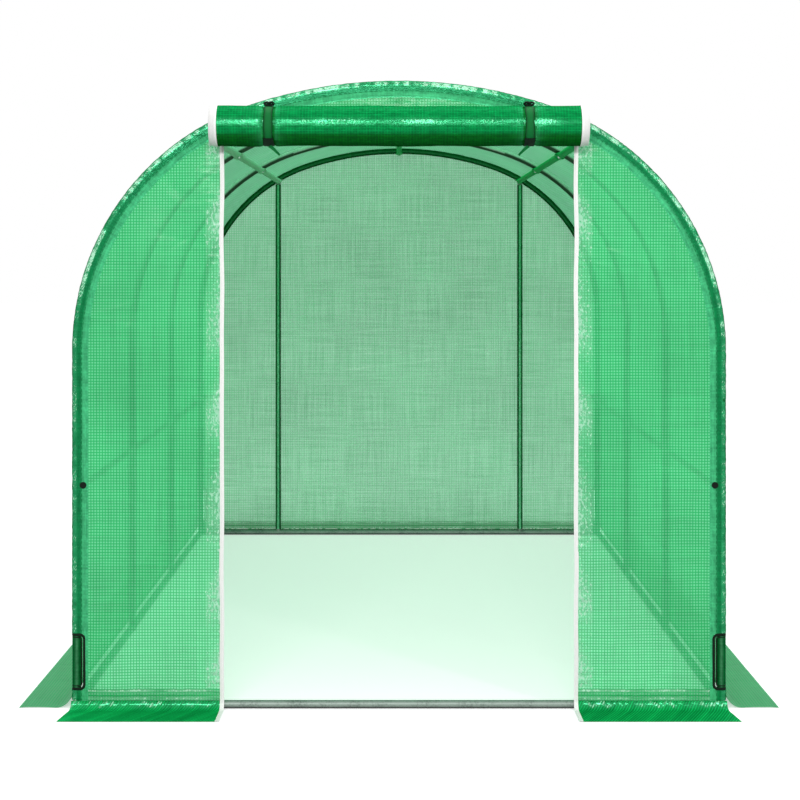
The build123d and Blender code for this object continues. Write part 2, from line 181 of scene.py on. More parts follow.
def wander(run, seed, wavelength):
    """A smooth wandering value of about -1 to 1: five sines of unrelated wavelengths, added up."""
    rng = np.random.default_rng(seed)
    total = 0
    for _ in range(5):
        turns = run / (wavelength * rng.uniform(0.5, 1.8))
        total = total + np.sin(2 * math.pi * turns + rng.uniform(0, 2 * math.pi))
    return total / 2.6


def puckers(along, away, seed, wavelength, fade):
    """Gathers at a seam: a sine along the seam whose phase and depth wander, dying off away from it."""
    phase = along / wavelength + 0.7 * wander(along, seed, 6 * wavelength)
    depth = 0.6 + 0.4 * wander(along, seed + 1, 4 * wavelength)
    return depth * np.sin(2 * math.pi * phase) * np.exp(-np.abs(away) / fade)


def creases(u, v, area, seed, count, length, width):
    """Sharp folds scattered over an area, given as its ends along u and v: each is a straight ridge,
    highest on its line and falling off as an exponential of the distance from it, that fades out
    towards both ends."""
    rng = np.random.default_rng(seed)
    total = np.zeros(np.broadcast(u, v).shape)
    for _ in range(count):
        cu, cv = rng.uniform(area[0], area[1]), rng.uniform(area[2], area[3])
        angle, size = rng.uniform(0, math.pi), rng.uniform(0.4, 1) * length
        du, dv = u - cu, v - cv
        across = -du * math.sin(angle) + dv * math.cos(angle)
        along = du * math.cos(angle) + dv * math.sin(angle)
        ridge = np.exp(-np.abs(across) / (width * rng.uniform(0.6, 1.6)) - (along / size) ** 2)
        total += rng.uniform(-1, 1) * ridge
    return total


def smooth_step(value, start, end):
    """0 at the start and 1 at the end, rising in between without a corner."""
    t = np.clip((value - start) / (end - start), 0, 1)
    return t * t * (3 - 2 * t)


def bell(value, middle, width):
    """1 in the middle, falling off smoothly to both sides."""
    return np.exp(-(((value - middle) / width) ** 2))


def spread(start, end, step):
    """Even places from start to end, about a step apart."""
    return np.linspace(start, end, max(2, int(round(abs(end - start) / step)) + 1))


def table(first, second):
    """Two rows of values as a grid: the first runs down, the second across."""
    return np.meshgrid(first, second, indexing="ij")


def link(name, data):
    """A new object made of this data, in the scene."""
    item = bpy.data.objects.new(name, data)
    bpy.context.scene.collection.objects.link(item)
    return item


# ---------------------------------------------------------------- mesh from grids


class Surface:
    """Grids of points gathered into one mesh, each with flat coordinates for the weave."""

    def __init__(self):
        self.points, self.flat, self.faces, self.count = [], [], [], 0
        self.marks = {"doubled": [], "crushed": []}

    def add(self, x, y, z, u, v, doubled=0.0, crushed=0.0, flip=False, wrap=False, open_at=None):
        """One grid, or a stack of like grids. Quads join neighbours along the last two axes, wrap joins
        the last column to the first, and open_at marks the points that a hole takes away. doubled is
        the share of film that lies in two layers, and also a painted shade on the roll and the ties and a
        painted highlight where the sleeves lower it; crushed is how hard it was creased, and also where
        painted glints and highlights lie on the hems, the roll and the foot band."""
        x, y, z, u, v, doubled, crushed = np.broadcast_arrays(x, y, z, u, v, doubled, crushed)
        index = np.arange(x.size).reshape(x.shape)
        if wrap:
            index = np.concatenate([index, index[..., :1]], axis=-1)
        quads = np.stack(
            [index[..., :-1, :-1], index[..., :-1, 1:], index[..., 1:, 1:], index[..., 1:, :-1]], axis=-1
        ).reshape(-1, 4)
        used = np.arange(x.size)
        if open_at is not None:
            quads = quads[~open_at.reshape(-1)[quads].any(axis=1)]
            used, quads = np.unique(quads, return_inverse=True)
            quads = quads.reshape(-1, 4)
        self.faces.append((quads[:, ::-1] if flip else quads) + self.count)
        self.points.append(np.stack([x, y, z], axis=-1).reshape(-1, 3)[used])
        self.flat.append(np.stack([u, v], axis=-1).reshape(-1, 2)[used])
        self.marks["doubled"].append(doubled.reshape(-1)[used])
        self.marks["crushed"].append(crushed.reshape(-1)[used])
        self.count += len(used)

    def build(self, name, material, slot, *replaced):
        """The mesh object, riding on the tunnel's one body and standing for the solids it replaces."""
        points = np.concatenate(self.points).astype(np.float32)
        quads = np.concatenate(self.faces).astype(np.int32)
        flat = np.concatenate(self.flat).astype(np.float32)
        mesh = bpy.data.meshes.new(name)
        mesh.vertices.add(len(points))
        mesh.vertices.foreach_set("co", points.ravel())
        mesh.loops.add(quads.size)
        mesh.loops.foreach_set("vertex_index", quads.ravel())
        mesh.polygons.add(len(quads))
        mesh.polygons.foreach_set("loop_start", np.arange(0, quads.size, 4, dtype=np.int32))
        mesh.polygons.foreach_set("use_smooth", np.ones(len(quads), bool))
        mesh.uv_layers.new(name="weave").uv.foreach_set("vector", flat[quads.ravel()].ravel())
        for mark, values in self.marks.items():
            attribute = mesh.attributes.new(mark, "FLOAT", "POINT")
            attribute.data.foreach_set("value", np.concatenate(values).astype(np.float32))
        mesh.update(calc_edges=True)
        mesh.validate()
        mesh.materials.append(material)
        piece = link(name, mesh)
        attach(piece, BODY)
        if replaced:
            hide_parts(*replaced)
        return piece


# ---------------------------------------------------------------- materials


def linear(code):
    """An sRGB hex colour as linear RGBA."""
    parts = [int(code[i : i + 2], 16) / 255 for i in (1, 3, 5)]
    return tuple(c / 12.92 if c <= 0.04045 else ((c + 0.055) / 1.055) ** 2.4 for c in parts) + (1.0,)


def put(m, kind, inputs, out=0, **settings):
    """Adds a shader node and returns one of its outputs. inputs are values, or other nodes' outputs to
    link, by socket, and settings are the node's own properties."""
    node = m.node_tree.nodes.new("ShaderNode" + kind)
    for key, value in settings.items():
        setattr(node, key, value)
    for key, value in inputs.items():
        if isinstance(value, bpy.types.NodeSocket):
            m.node_tree.links.new(value, node.inputs[key])
        else:
            node.inputs[key].default_value = value
    return node.outputs[out] if node.outputs else None


def new_material(name):
    """An empty material, for put to fill."""
    m = bpy.data.materials.new(name)
    m.use_nodes = True
    m.node_tree.nodes.clear()
    return m


SMOOTH = {"interpolation_type": "SMOOTHSTEP"}
COLOUR = {"data_type": "RGBA"}
TINTED = {"data_type": "RGBA", "blend_type": "MULTIPLY"}


def weave(m, flat, pitch, thread):
    """Where a mesh has its threads: 1 on a thread and 0 in a cell, and how each thread differs."""
    masks, streaks = [], []
    for axis, length in enumerate(((0.77 * pitch, 29 * pitch, 1), (29 * pitch, 0.77 * pitch, 1))):
        along = put(m, "SeparateXYZ", {0: flat}, axis)
        across = put(m, "Math", {0: along, 1: pitch / 2}, operation="PINGPONG")
        edge = {0: across, 1: 0.38 * thread, 2: 0.62 * thread, 3: 1, 4: 0}
        masks.append(put(m, "MapRange", edge, **SMOOTH))
        place = put(m, "Mapping", {"Vector": flat, "Scale": length}, vector_type="TEXTURE")
        streaks.append(put(m, "TexNoise", {"Vector": place, "Scale": 1, "Detail": 2}))
    mask = put(m, "Math", {0: masks[0], 1: masks[1]}, operation="MAXIMUM")
    return mask, put(m, "Math", {0: streaks[0], 1: streaks[1]}, operation="ADD")


def flecks(m, flat, crushed, size, turn=0.0, full=0.9):
    """Pale flecks on crushed film, partly crease whitening and partly painted glints, with sharp edges
    and longer one way: the harder it was crushed, the more of a cloudy value passes the mark."""
    settings = {"Vector": flat, "Rotation": (0, 0, turn), "Scale": (size[0], size[1], 1)}
    place = put(m, "Mapping", settings, vector_type="TEXTURE")
    cloud = put(m, "TexNoise", {"Vector": place, "Scale": 1, "Detail": 3, "Roughness": 0.6})
    level = put(m, "Math", {0: crushed, 1: 0.3, 2: cloud}, operation="MULTIPLY_ADD")
    return put(m, "MapRange", {0: level, 1: 0.84, 2: full}, **SMOOTH)


def mesh_film(name, haze, clear, tint, streaks, rough=0.16, grain=(7 * MM, 13 * MM)):
    """Polyethylene film laminated over an open mesh of flat tapes. The film in the cells is hazy, and
    lets through a share of what is behind it, tinted green; the threads let through less, and glow
    when lit from behind; doubled film is deep green; and crushed film shines, with pale flecks that are
    partly crease whitening and partly painted glints, over a painted sheen."""
    look = bpy.context.scene.tunnel_film
    m = new_material(name)
    flat = put(m, "UVMap", {}, uv_map="weave")
    doubled, crushed = (
        put(m, "Attribute", {}, "Fac", attribute_name=mark) for mark in ("doubled", "crushed")
    )
    mask, uneven = weave(m, flat, look.pitch, look.thread)
    # painted sheen: where the film is crushed hardest, as on the foot band's rows and beside the zips, it
    # is painted paler
    painted_sheen = put(m, "MapRange", {0: crushed, 1: 0.5, 2: 1.4, 4: 0.32}, **SMOOTH)
    pale = put(m, "Math", {0: flecks(m, flat, crushed, grain, full=0.95), 1: painted_sheen}, operation="MAXIMUM")
    patches = put(m, "TexNoise", {"Vector": flat, "Scale": 2.2, "Detail": 3})
    level = put(m, "Math", {0: uneven, 1: 0.5, 2: patches}, operation="MULTIPLY_ADD")
    shade = put(m, "MapRange", {0: level, 1: 0.55, 2: 1.45, 3: 0.76, 4: 1.2}, **SMOOTH)
    single = put(m, "Mix", {0: mask, 6: linear(haze), 7: tuple(look.thread_colour)}, 2, **COLOUR)
    double = put(m, "Mix", {0: mask, 6: tuple(look.hem_shade), 7: tuple(look.hem_colour)}, 2, **COLOUR)
    tone = put(m, "Mix", {0: doubled, 6: single, 7: double}, 2, **COLOUR)
    tone = put(m, "Mix", {0: 1.0, 6: tone, 7: shade}, 2, **TINTED)
    tone = put(m, "Mix", {0: pale, 6: tone, 7: tuple(look.crease_and_glint_colour)}, 2, **COLOUR)
    crinkle = put(m, "TexNoise", {"Vector": flat, "Scale": 55, "Detail": 5, "Roughness": 0.65})
    height = put(m, "Math", {0: crinkle, 1: 8.0, 2: mask}, operation="MULTIPLY_ADD")
    bump = put(m, "Bump", {"Height": height, "Strength": 0.6, "Distance": 0.15 * MM})
    face = put(m, "BsdfDiffuse", {"Color": tone, "Normal": bump})
    glow = put(m, "BsdfTranslucent", {"Color": tone, "Normal": bump})
    lit = put(m, "MapRange", {0: doubled, 3: 0.34, 4: 0.1})
    cloth = put(m, "MixShader", {0: lit, 1: face, 2: glow})
    share = put(m, "MapRange", {0: mask, 3: clear[0], 4: clear[1]})
    streak = put(m, "MapRange", {0: uneven, 1: 0.7, 2: 1.3, 3: 1 - streaks, 4: 1}, **SMOOTH)
    share = put(m, "Math", {0: share, 1: streak}, operation="MULTIPLY")
    closed = put(m, "Math", {0: doubled, 1: pale}, operation="MAXIMUM")
    closed = put(m, "MapRange", {0: closed, 3: 1, 4: 0.05})
    share = put(m, "Math", {0: share, 1: closed}, operation="MULTIPLY")
    see = put(m, "BsdfTransparent", {"Color": linear(tint)})
    film = put(m, "MixShader", {0: share, 1: cloth, 2: see})
    gloss = put(m, "BsdfGlossy", {"Roughness": rough, "Normal": bump})
    facing = put(m, "LayerWeight", {"Blend": 0.5, "Normal": bump}, "Facing")
    rim = put(m, "Math", {0: facing, 1: 4.0}, operation="POWER")
    rim = put(m, "Math", {0: rim, 1: closed}, operation="MULTIPLY")
    shine = put(m, "Math", {0: rim, 1: look.rim_gloss, 2: look.gloss}, operation="MULTIPLY_ADD")
    surface = put(m, "MixShader", {0: shine, 1: film, 2: gloss})
    put(m, "OutputMaterial", {"Surface": surface})
    return m


def closed_film(name, colour, deep_colour, crease, grain, turn=0.0, grid=0.35, rows=()):
    """The same laminate in closed layers, as in a hem, a sleeve or a roll. No light comes through, so
    it is deep green, deeper where more layers lie under it and where the doubled mark holds painted
    shade, and paler where it holds a painted highlight. Its mesh shows as a faint grid, its creases are
    pale and sharp, partly painted glints, and rows, given as places across it, are its dark stitched
    seams."""
    look = bpy.context.scene.tunnel_film
    stitch = bpy.context.scene.tunnel_cover.stitch
    m = new_material(name)
    flat = put(m, "UVMap", {}, uv_map="weave")
    doubled, crushed = (
        put(m, "Attribute", {}, "Fac", attribute_name=mark) for mark in ("doubled", "crushed")
    )
    mask, uneven = weave(m, flat, look.pitch, 0.8 * look.thread)
    pale = flecks(m, flat, crushed, grain, turn)
    shade = put(m, "MapRange", {0: mask, 3: 1 - 1.5 * grid, 4: 1})
    pale = put(m, "Math", {0: pale, 1: shade}, operation="MULTIPLY")
    place = put(m, "Mapping", {"Vector": flat, "Scale": (30 * MM, 12 * MM, 1)}, vector_type="TEXTURE")
    cloud = put(m, "TexNoise", {"Vector": place, "Scale": 1, "Detail": 4, "Roughness": 0.65})
    tone = put(m, "Mix", {0: doubled, 6: linear(colour), 7: linear(deep_colour)}, 2, **COLOUR)
    shade = put(m, "MapRange", {0: uneven, 1: 0.6, 2: 1.4, 3: 0.8, 4: 1.2}, **SMOOTH)
    tone = put(m, "Mix", {0: 1.0, 6: tone, 7: shade}, 2, **TINTED)
    shade = put(m, "MapRange", {0: cloud, 1: 0.3, 2: 0.7, 3: 0.75, 4: 1.2}, **SMOOTH)
    tone = put(m, "Mix", {0: 1.0, 6: tone, 7: shade}, 2, **TINTED)
    shade = put(m, "MapRange", {0: mask, 3: 1 - grid, 4: 1})
    tone = put(m, "Mix", {0: 1.0, 6: tone, 7: shade}, 2, **TINTED)
    tone = put(m, "Mix", {0: pale, 6: tone, 7: linear(crease)}, 2, **COLOUR)
    height = put(m, "Math", {0: cloud, 1: 8.0, 2: mask}, operation="MULTIPLY_ADD")
    along = put(m, "SeparateXYZ", {0: flat}, 0)
    length = put(m, "Math", {0: along, 1: stitch}, operation="PINGPONG")
    length = put(m, "MapRange", {0: length, 1: 0.35 * stitch, 2: 0.5 * stitch}, **SMOOTH)
    for where, width in rows:
        across = put(m, "SeparateXYZ", {0: flat}, 1)
        away = put(m, "Math", {0: across, 1: where, 2: 0.5 * width}, operation="COMPARE")
        thread = put(m, "Math", {0: away, 1: length}, operation="MULTIPLY")
        shade = put(m, "Math", {0: thread, 1: 0.85}, operation="MULTIPLY")
        tone = put(m, "Mix", {0: shade, 6: tone, 7: tuple(look.hem_shade)}, 2, **COLOUR)
        height = put(m, "Math", {0: thread, 1: -3.0, 2: height}, operation="MULTIPLY_ADD")
    bump = put(m, "Bump", {"Height": height, "Strength": 0.8, "Distance": 0.25 * MM})
    face = put(m, "BsdfDiffuse", {"Color": tone, "Normal": bump})
    gloss = put(m, "BsdfGlossy", {"Color": linear("#6CFFBC"), "Roughness": 0.2, "Normal": bump})
    shine = put(m, "Math", {0: crushed, 1: look.closed_gloss, 2: 0.006}, operation="MULTIPLY_ADD")
    surface = put(m, "MixShader", {0: shine, 1: face, 2: gloss})
    put(m, "OutputMaterial", {"Surface": surface})
    return m


def woven_tape(name, colour, rib, edge=1.0, roughness=0.8, specular=0.3):
    """Polyester or polypropylene woven in a narrow loom: matt, with fine ribs across it, and with a
    painted shade on its edges, where the doubled mark is set and edge is under 1. The ribs are drawn
    coarser than the real 0.5 mm so that they show."""
    m = new_material(name)
    flat = put(m, "UVMap", {}, uv_map="weave")
    along = put(m, "SeparateXYZ", {0: flat}, 1)
    ribs = put(m, "Math", {0: along, 1: rib / 2}, operation="PINGPONG")
    speckle = put(m, "TexNoise", {"Vector": flat, "Scale": 900, "Detail": 2})
    shade = put(m, "MapRange", {0: speckle, 1: 0.2, 2: 0.8, 3: 0.82, 4: 1.08}, **SMOOTH)
    tone = put(m, "Mix", {0: 1.0, 6: linear(colour), 7: shade}, 2, **TINTED)
    # painted shade: the straps set the doubled mark at their edges, and edge darkens them there
    doubled = put(m, "Attribute", {}, "Fac", attribute_name="doubled")
    shade = put(m, "MapRange", {0: doubled, 3: 1, 4: edge})
    tone = put(m, "Mix", {0: 1.0, 6: tone, 7: shade}, 2, **TINTED)
    height = put(m, "Math", {0: ribs, 1: 2 / rib, 2: speckle}, operation="MULTIPLY_ADD")
    bump = put(m, "Bump", {"Height": height, "Strength": 0.5, "Distance": 0.25 * MM})
    inputs = {"Base Color": tone, "Roughness": roughness, "Specular IOR Level": specular, "Normal": bump}
    put(m, "OutputMaterial", {"Surface": put(m, "BsdfPrincipled", inputs)})
    return m


def tube_steel(name, dull_colour, bright_colour, painted_shade_colour, painted_light_turn, rough, metal=0.6):
    """Steel tube, zinc-plated before it was rolled: grey, with soft cloudy patches where the zinc has
    dulled, and a painted shade on faces that look down. painted_light_turn is how far up a face must
    look to keep its own tone rather than the painted shade."""
    m = new_material(name)
    place = put(m, "TexCoord", {}, "Object")
    cloud = put(m, "TexNoise", {"Vector": place, "Scale": 14, "Detail": 4, "Roughness": 0.6})
    spangle = put(m, "TexVoronoi", {"Vector": place, "Scale": 160})
    patch = put(m, "Math", {0: spangle, 1: 0.35, 2: cloud}, operation="MULTIPLY_ADD")
    share = put(m, "MapRange", {0: patch, 1: 0.35, 2: 0.8}, **SMOOTH)
    tone = put(m, "Mix", {0: share, 6: linear(dull_colour), 7: linear(bright_colour)}, 2, **COLOUR)
    # painted shade: faces that look down take the painted shade colour, faces that look up keep their tone
    upward = put(m, "SeparateXYZ", {0: put(m, "TexCoord", {}, "Normal")}, 2)
    share = put(m, "MapRange", {0: upward, 1: painted_light_turn - 0.6, 2: painted_light_turn}, **SMOOTH)
    tone = put(m, "Mix", {0: share, 6: linear(painted_shade_colour), 7: tone}, 2, **COLOUR)
    bump = put(m, "Bump", {"Height": patch, "Strength": 0.25, "Distance": 0.1 * MM})
    inputs = {"Base Color": tone, "Roughness": rough, "Metallic": metal, "Normal": bump}
    inputs["Specular IOR Level"] = 0.1 + 0.5 * metal
    put(m, "OutputMaterial", {"Surface": put(m, "BsdfPrincipled", inputs)})
    return m


def black_plastic():
    """Moulded black polyethylene: soft low sheen with a faint orange-peel skin."""
    m = new_material("moulded_black_polyethylene")
    place = put(m, "TexCoord", {}, "Object")
    grain = put(m, "TexNoise", {"Vector": place, "Scale": 700, "Detail": 3})
    tone = put(m, "Mix", {0: grain, 6: linear("#030A05"), 7: linear("#09140C")}, 2, **COLOUR)
    bump = put(m, "Bump", {"Height": grain, "Strength": 0.3, "Distance": 0.1 * MM})
    inputs = {"Base Color": tone, "Roughness": 0.45, "Specular IOR Level": 0.1, "Normal": bump}
    surface = put(m, "BsdfPrincipled", inputs)
    put(m, "OutputMaterial", {"Surface": surface})
    return m


def zinc_fastener():
    """Zinc-plated bolt: brighter and smoother than the tube, with tumbling marks."""
    m = new_material("zinc_plated_fastener")
    place = put(m, "TexCoord", {}, "Object")
    wear = put(m, "TexNoise", {"Vector": place, "Scale": 260, "Detail": 3})
    tone = put(m, "Mix", {0: wear, 6: linear("#9FA5A6"), 7: linear("#D2D5D3")}, 2, **COLOUR)
    rough = put(m, "MapRange", {0: wear, 1: 0.3, 2: 0.7, 3: 0.2, 4: 0.4})
    surface = put(m, "BsdfPrincipled", {"Base Color": tone, "Roughness": rough, "Metallic": 0.9})
    put(m, "OutputMaterial", {"Surface": surface})
    return m


LOOKS = {
    "film": (mesh_film, "laminated_mesh_film", "#86FFC0", (0.42, 0.15), "#C4FFE2", 0.1),
    "cover": (mesh_film, "laminated_barrel_film", "#86DDAE", (0.50, 0.28), "#95CEB5", 0.35, 0.36),
    "rear": (mesh_film, "laminated_rear_film", "#8FDDB2", (0.48, 0.34), "#BFE7D1", 0.38),
    # Hem: its paler colour and crease colour partly paint the highlight stripe along its curve
    "hem": (
        closed_film, "hem_of_doubled_film", "#46B87C", "#037039", "#C6EFD5",
        (9 * MM, 2.4 * MM), 0.35, 0.1, HEM_ROWS,
    ),
    # Sleeve: its paler colour shows as a painted highlight along the front
    "sleeve": (
        closed_film, "sleeve_of_closed_film", "#7FC79C", "#045A27", "#9FD8B5", (20 * MM, 5 * MM), 0.0, 0.1,
    ),
    # Roll: its deep colour is the painted shade of the lower half and the pinches, its crease colour the
    # painted glints
    "roll": (
        closed_film, "roll_of_wound_film", "#048D45", "#025D0B", "#9CF8C2", (5 * MM, 11 * MM), 0.0, 0.33,
    ),
    "skirt": (
        closed_film, "skirt_of_doubled_film", "#11BC60", "#079E50", "#B4F0CC", (5 * MM, 12 * MM), -0.5, 0.5,
    ),
    "zip": (woven_tape, "white_polyester_zip_tape", "#FAFAF8", 2.5 * MM),
    # The tapes' edge value is a painted shade along the edges of the straps
    "tie": (woven_tape, "green_polypropylene_webbing", "#076B31", 3.0 * MM, 0.12, 0.7, 0.15),
    "binding": (woven_tape, "black_polyester_binding", "#061A0E", 2.0 * MM, 1.0, 0.7, 0.12),
    # The third colour of each steel is its painted shade on faces that look down
    "tube": (tube_steel, "galvanised_rail_steel", "#626D67", "#88958D", "#222824", -0.15, 0.5),
    # The middle hoops' zinc: painted lit copies for the crowns and shoulders, a painted shaded copy for the
    # legs
    "crown": (tube_steel, "galvanised_crown_steel", "#BDD4C3", "#E6F4E8", "#123C1D", 0.15, 0.35, 0.25),
    "shoulder": (tube_steel, "galvanised_shoulder_steel", "#C2D8C8", "#EEF8F0", "#1B4027", 0.4, 0.35, 0.2),
    "leg": (tube_steel, "galvanised_leg_steel", "#55705F", "#6F8878", "#1D3F29", 0.6, 0.45),
    "left_purlin": (tube_steel, "zinc_rich_purlin_steel", "#D2F2DA", "#E4FAEA", "#BFE6C9", 0.3, 0.5, 0.0),
    "purlin": (tube_steel, "green_coated_purlin_steel", "#04C670", "#0CD47A", "#03AE60", 0.3, 0.6, 0.0),
    "plug": (black_plastic,),
    "bolt": (zinc_fastener,),
}
MATERIALS = {}


def material(name):
    """A material made once and shared."""
    if name not in MATERIALS:
        maker, *look = LOOKS[name]
        MATERIALS[name] = maker(*look)
    return MATERIALS[name]


# ---------------------------------------------------------------- settings


class FilmSettings(bpy.types.PropertyGroup):
    pitch: FloatProperty(
        name="Mesh pitch", description="Thread to thread", default=8.7 * MM, unit="LENGTH"
    )
    thread: FloatProperty(
        name="Thread width", description="Width of a flat thread", default=3.2 * MM, unit="LENGTH"
    )
    gloss: FloatProperty(
        name="Gloss", description="Share mirrored by a face seen straight on", default=0.012,
        subtype="FACTOR",
    )
    rim_gloss: FloatProperty(
        name="Edge gloss", description="Share mirrored by a face seen edge on", default=0.25,
        subtype="FACTOR",
    )
    thread_colour: FloatVectorProperty(
        name="Thread", description="Thread colour", subtype="COLOR", size=4, default=linear("#33BF70")
    )
    hem_colour: FloatVectorProperty(
        name="Doubled", description="Threads of doubled film", subtype="COLOR", size=4,
        default=linear("#12A152"),
    )
    hem_shade: FloatVectorProperty(
        name="Deep", description="Cells and seams of doubled film", subtype="COLOR", size=4,
        default=linear("#02602C"),
    )
    # the colour of crease whitening, and of the painted glints and sheen
    crease_and_glint_colour: FloatVectorProperty(
        name="Crease", description="Film whitened by a crease", subtype="COLOR", size=4,
        default=linear("#B9EBCF"),
    )
    closed_gloss: FloatProperty(
        name="Closed gloss", description="Share mirrored by crushed film in closed layers",
        default=0.12, subtype="FACTOR",
    )


class CoverSettings(bpy.types.PropertyGroup):
    sag: FloatProperty(
        name="Sag", description="Film's sag between hoops", default=9 * MM, unit="LENGTH"
    )
    crumple: FloatProperty(
        name="Crumple", description="Height of the creases in the film", default=3.0 * MM, unit="LENGTH"
    )
    stitch: FloatProperty(
        name="Stitch", description="Length of one stitch", default=8 * MM, unit="LENGTH"
    )


# ---------------------------------------------------------------- barrel


def barrel_rows():
    """Places along the tunnel, closer together beside each hoop, where the film bends over the tube."""
    rows = [HOOP_Y[0]]
    for start, end in zip(HOOP_Y[:-1], HOOP_Y[1:]):
        t = np.linspace(0, 1, 62)[1:]
        rows.extend(start + (end - start) * (t - 0.13 * np.sin(2 * math.pi * t)))
    return np.array(rows)


def hoop_distance(y):
    """How far along the tunnel the nearest hoop is."""
    return np.min(np.abs(np.asarray(y)[..., None] - np.array(HOOP_Y)), axis=-1)


def slack(run, y):
    """How far the film lies inside its taut line: it falls off each hoop as an exponential, is
    rippled across the hoops' ends, and is drawn tight again at the foot of the wall."""
    cover = bpy.context.scene.tunnel_cover
    away = hoop_distance(y)
    clear = 1 - np.exp(-away / 0.03)
    drop = cover.sag * (1 - np.exp(-np.maximum(away - 6 * MM, 0) / 0.11))
    drop = drop * (1 + 0.35 * wander(run, 11, 0.9) + 0.2 * wander(run + 2 * y, 12, 0.6))
    ripple = 2.2 * MM * puckers(run, away, 13, 0.085, 0.22) * clear
    area = (-leg_run(0), leg_run(0), -END_Y, END_Y)
    folds = cover.crumple * creases(run, y, area, 14, 110, 0.35, 0.014) * clear
    leg = leg_run(WALL_FOOT)
    return smooth_step(np.abs(run), leg, leg - 0.15) * np.maximum(drop + ripple + folds, 0)


def build_barrel():
    """The barrel sheet: a grid of the arch's run and the tunnel's length, set in by the slack."""
    leg = leg_run(WALL_FOOT)
    run, y = table(spread(-leg, leg, 11 * MM), barrel_rows())
    x, z = arch(run, 0.5 * SHEET + slack(run, y))
    surface = Surface()
    surface.add(x, y, z, run, y, 0, 0.15 * np.exp(-hoop_distance(y) / 0.04), flip=True)
    piece = surface.build(
        "barrel_cover", material("cover"), "mesh_film",
        "right_wall_sheet", "left_wall_sheet", "right_shoulder_sheet", "left_shoulder_sheet", "crown_sheet",
    )


# ---------------------------------------------------------------- end panels


def beside_zip(x):
    """How far a place across the front is from the nearer edge of the doorway."""
    return np.abs(np.abs(x) - DOOR_EDGE)


def end_relief(x, z, front):
    """How far an end panel stands out of its plane: long soft folds, sharp creases, gathers beside
    the zips and above the foot seam, and nothing at the hoop, where the hem holds it. The rear panel
    is drawn over its two posts."""
    cover = bpy.context.scene.tunnel_cover
    seed = 30 if front else 40
    area = (-PANEL_X, PANEL_X, PANEL_FOOT, TOP)
    edge = arch_height(np.clip(np.abs(x), 0, PANEL_X)) - z
    side = PANEL_X - np.abs(x)
    held = smooth_step(np.minimum(np.minimum(edge, side), z - PANEL_FOOT + 0.02), 0, 0.06)
    soft = 3.5 * MM * (wander(x + 0.35 * z, seed, 0.33) + 0.7 * wander(z - 0.8 * x, seed + 1, 0.5))
    sharp = 0.9 * cover.crumple * creases(x, z, area, seed + 2, 320, 0.22, 0.008)
    foot = 2.0 * MM * puckers(x, z - PANEL_FOOT, seed + 3, 0.045, 0.05)
    foot += 1.6 * MM * creases(x, z, (-1, 1, 0.02, 0.07), seed + 6, 260, 0.03, 0.005) * (z < 0.1)
    relief = held * (soft + sharp) + foot * smooth_step(side, 0, 0.05)
    if front:
        away = beside_zip(x)
        gathers = 2.4 * MM * puckers(z, away, seed + 4, 0.034, 0.03)
        area = (0, 0.24, 0, 1.8)
        gathers += 2.0 * MM * creases(away * 3, z, area, seed + 5, 260, 0.06, 0.006) * np.exp(-away / 0.05)
        relief = relief * smooth_step(away, -0.02, 0.03) + gathers * (z < DOOR_HEAD + 0.05)
    else:
        off_post = np.abs(np.abs(x) - POST_X)
        relief = np.maximum(relief, 1.3 * MM - 0.25 * np.maximum(off_post - 18 * MM, 0))
    return np.clip(relief, -6 * MM, 6 * MM)


def end_marks(x, z, front):
    """Where an end panel is doubled and crushed: at the band along its foot, at the facings beside
    the zips, and a little in patches all over. The crushing at the foot band's two rows and at the
    facings is partly creasing and partly painted glints."""
    up = (z - PANEL_FOOT) / MM
    band = smooth_step(up, 38, 36)
    row = bell(up, 15, 1.6)
    # painted glints: two rows, at 7 mm and 30 mm up the band
    hard = 0.5 + 0.9 * bell(up, 30, 4) + 0.7 * bell(up, 7, 4)
    hard = hard * np.clip(0.9 + 0.3 * wander(x, 47, 0.12), 0, 1) * (1 - row)
    patch = np.maximum(wander(x + 0.6 * z, 45, 0.5) * wander(z - x, 46, 0.4), 0)
    doubled, crushed = (0.55 + 0.45 * row) * band, np.maximum(hard * band, 0.3 * patch)
    if front:
        away = beside_zip(x)
        facing = smooth_step(away, 0.047, 0.043) * (z < DOOR_HEAD + 0.01) * (1 - band)
        loose = 1.0 + 0.25 * wander(z + away, 48, 0.2)
        crushed = np.maximum(crushed, facing * loose * (0.85 + 0.45 * np.exp(-away / 0.02)))
        crushed = np.maximum(crushed, 0.75 * np.exp(-away / 0.06) * (1 - band))
    return doubled, crushed


def in_hand_hole(x, z, grown=0.0):
    """True inside the hand hole at a leg's foot: a tall slot whose two inner corners are round."""
    inner, corner = HALF_WIDTH - HOLE_IN - grown, HOLE_CORNER
    low_z, high_z = HOLE_LOW - grown, HOLE_HIGH + grown
    dx = np.maximum(inner + corner - np.abs(x), 0)
    dz = np.maximum(np.maximum(low_z + corner - z, z - high_z + corner), 0)
    return np.hypot(dx, dz) < corner


def panel_grid(surface, columns, bottom, front):
    """An end panel: columns across it, each running from bottom up to the arch, with its rows closer
    together at the foot, where the band is."""
    x = columns[:, None]
    foot = spread(0, FOOT_BAND, 1.5 * MM)[None, :-1] + 0 * x
    rows = np.linspace(0, 1, int((TOP - bottom) / (4.4 * MM)))[None, :]
    z = bottom + np.concatenate([foot, FOOT_BAND + (arch_height(x) - bottom - FOOT_BAND) * rows], axis=1)
    out = PANEL_MID + end_relief(x, z, front)
    doubled, crushed = end_marks(x, z, front)
    surface.add(
        x, (-out if front else out), z, x, z, doubled, crushed,
        flip=front != (columns[1] > columns[0]), open_at=in_hand_hole(x, z, 1 * MM),
    )


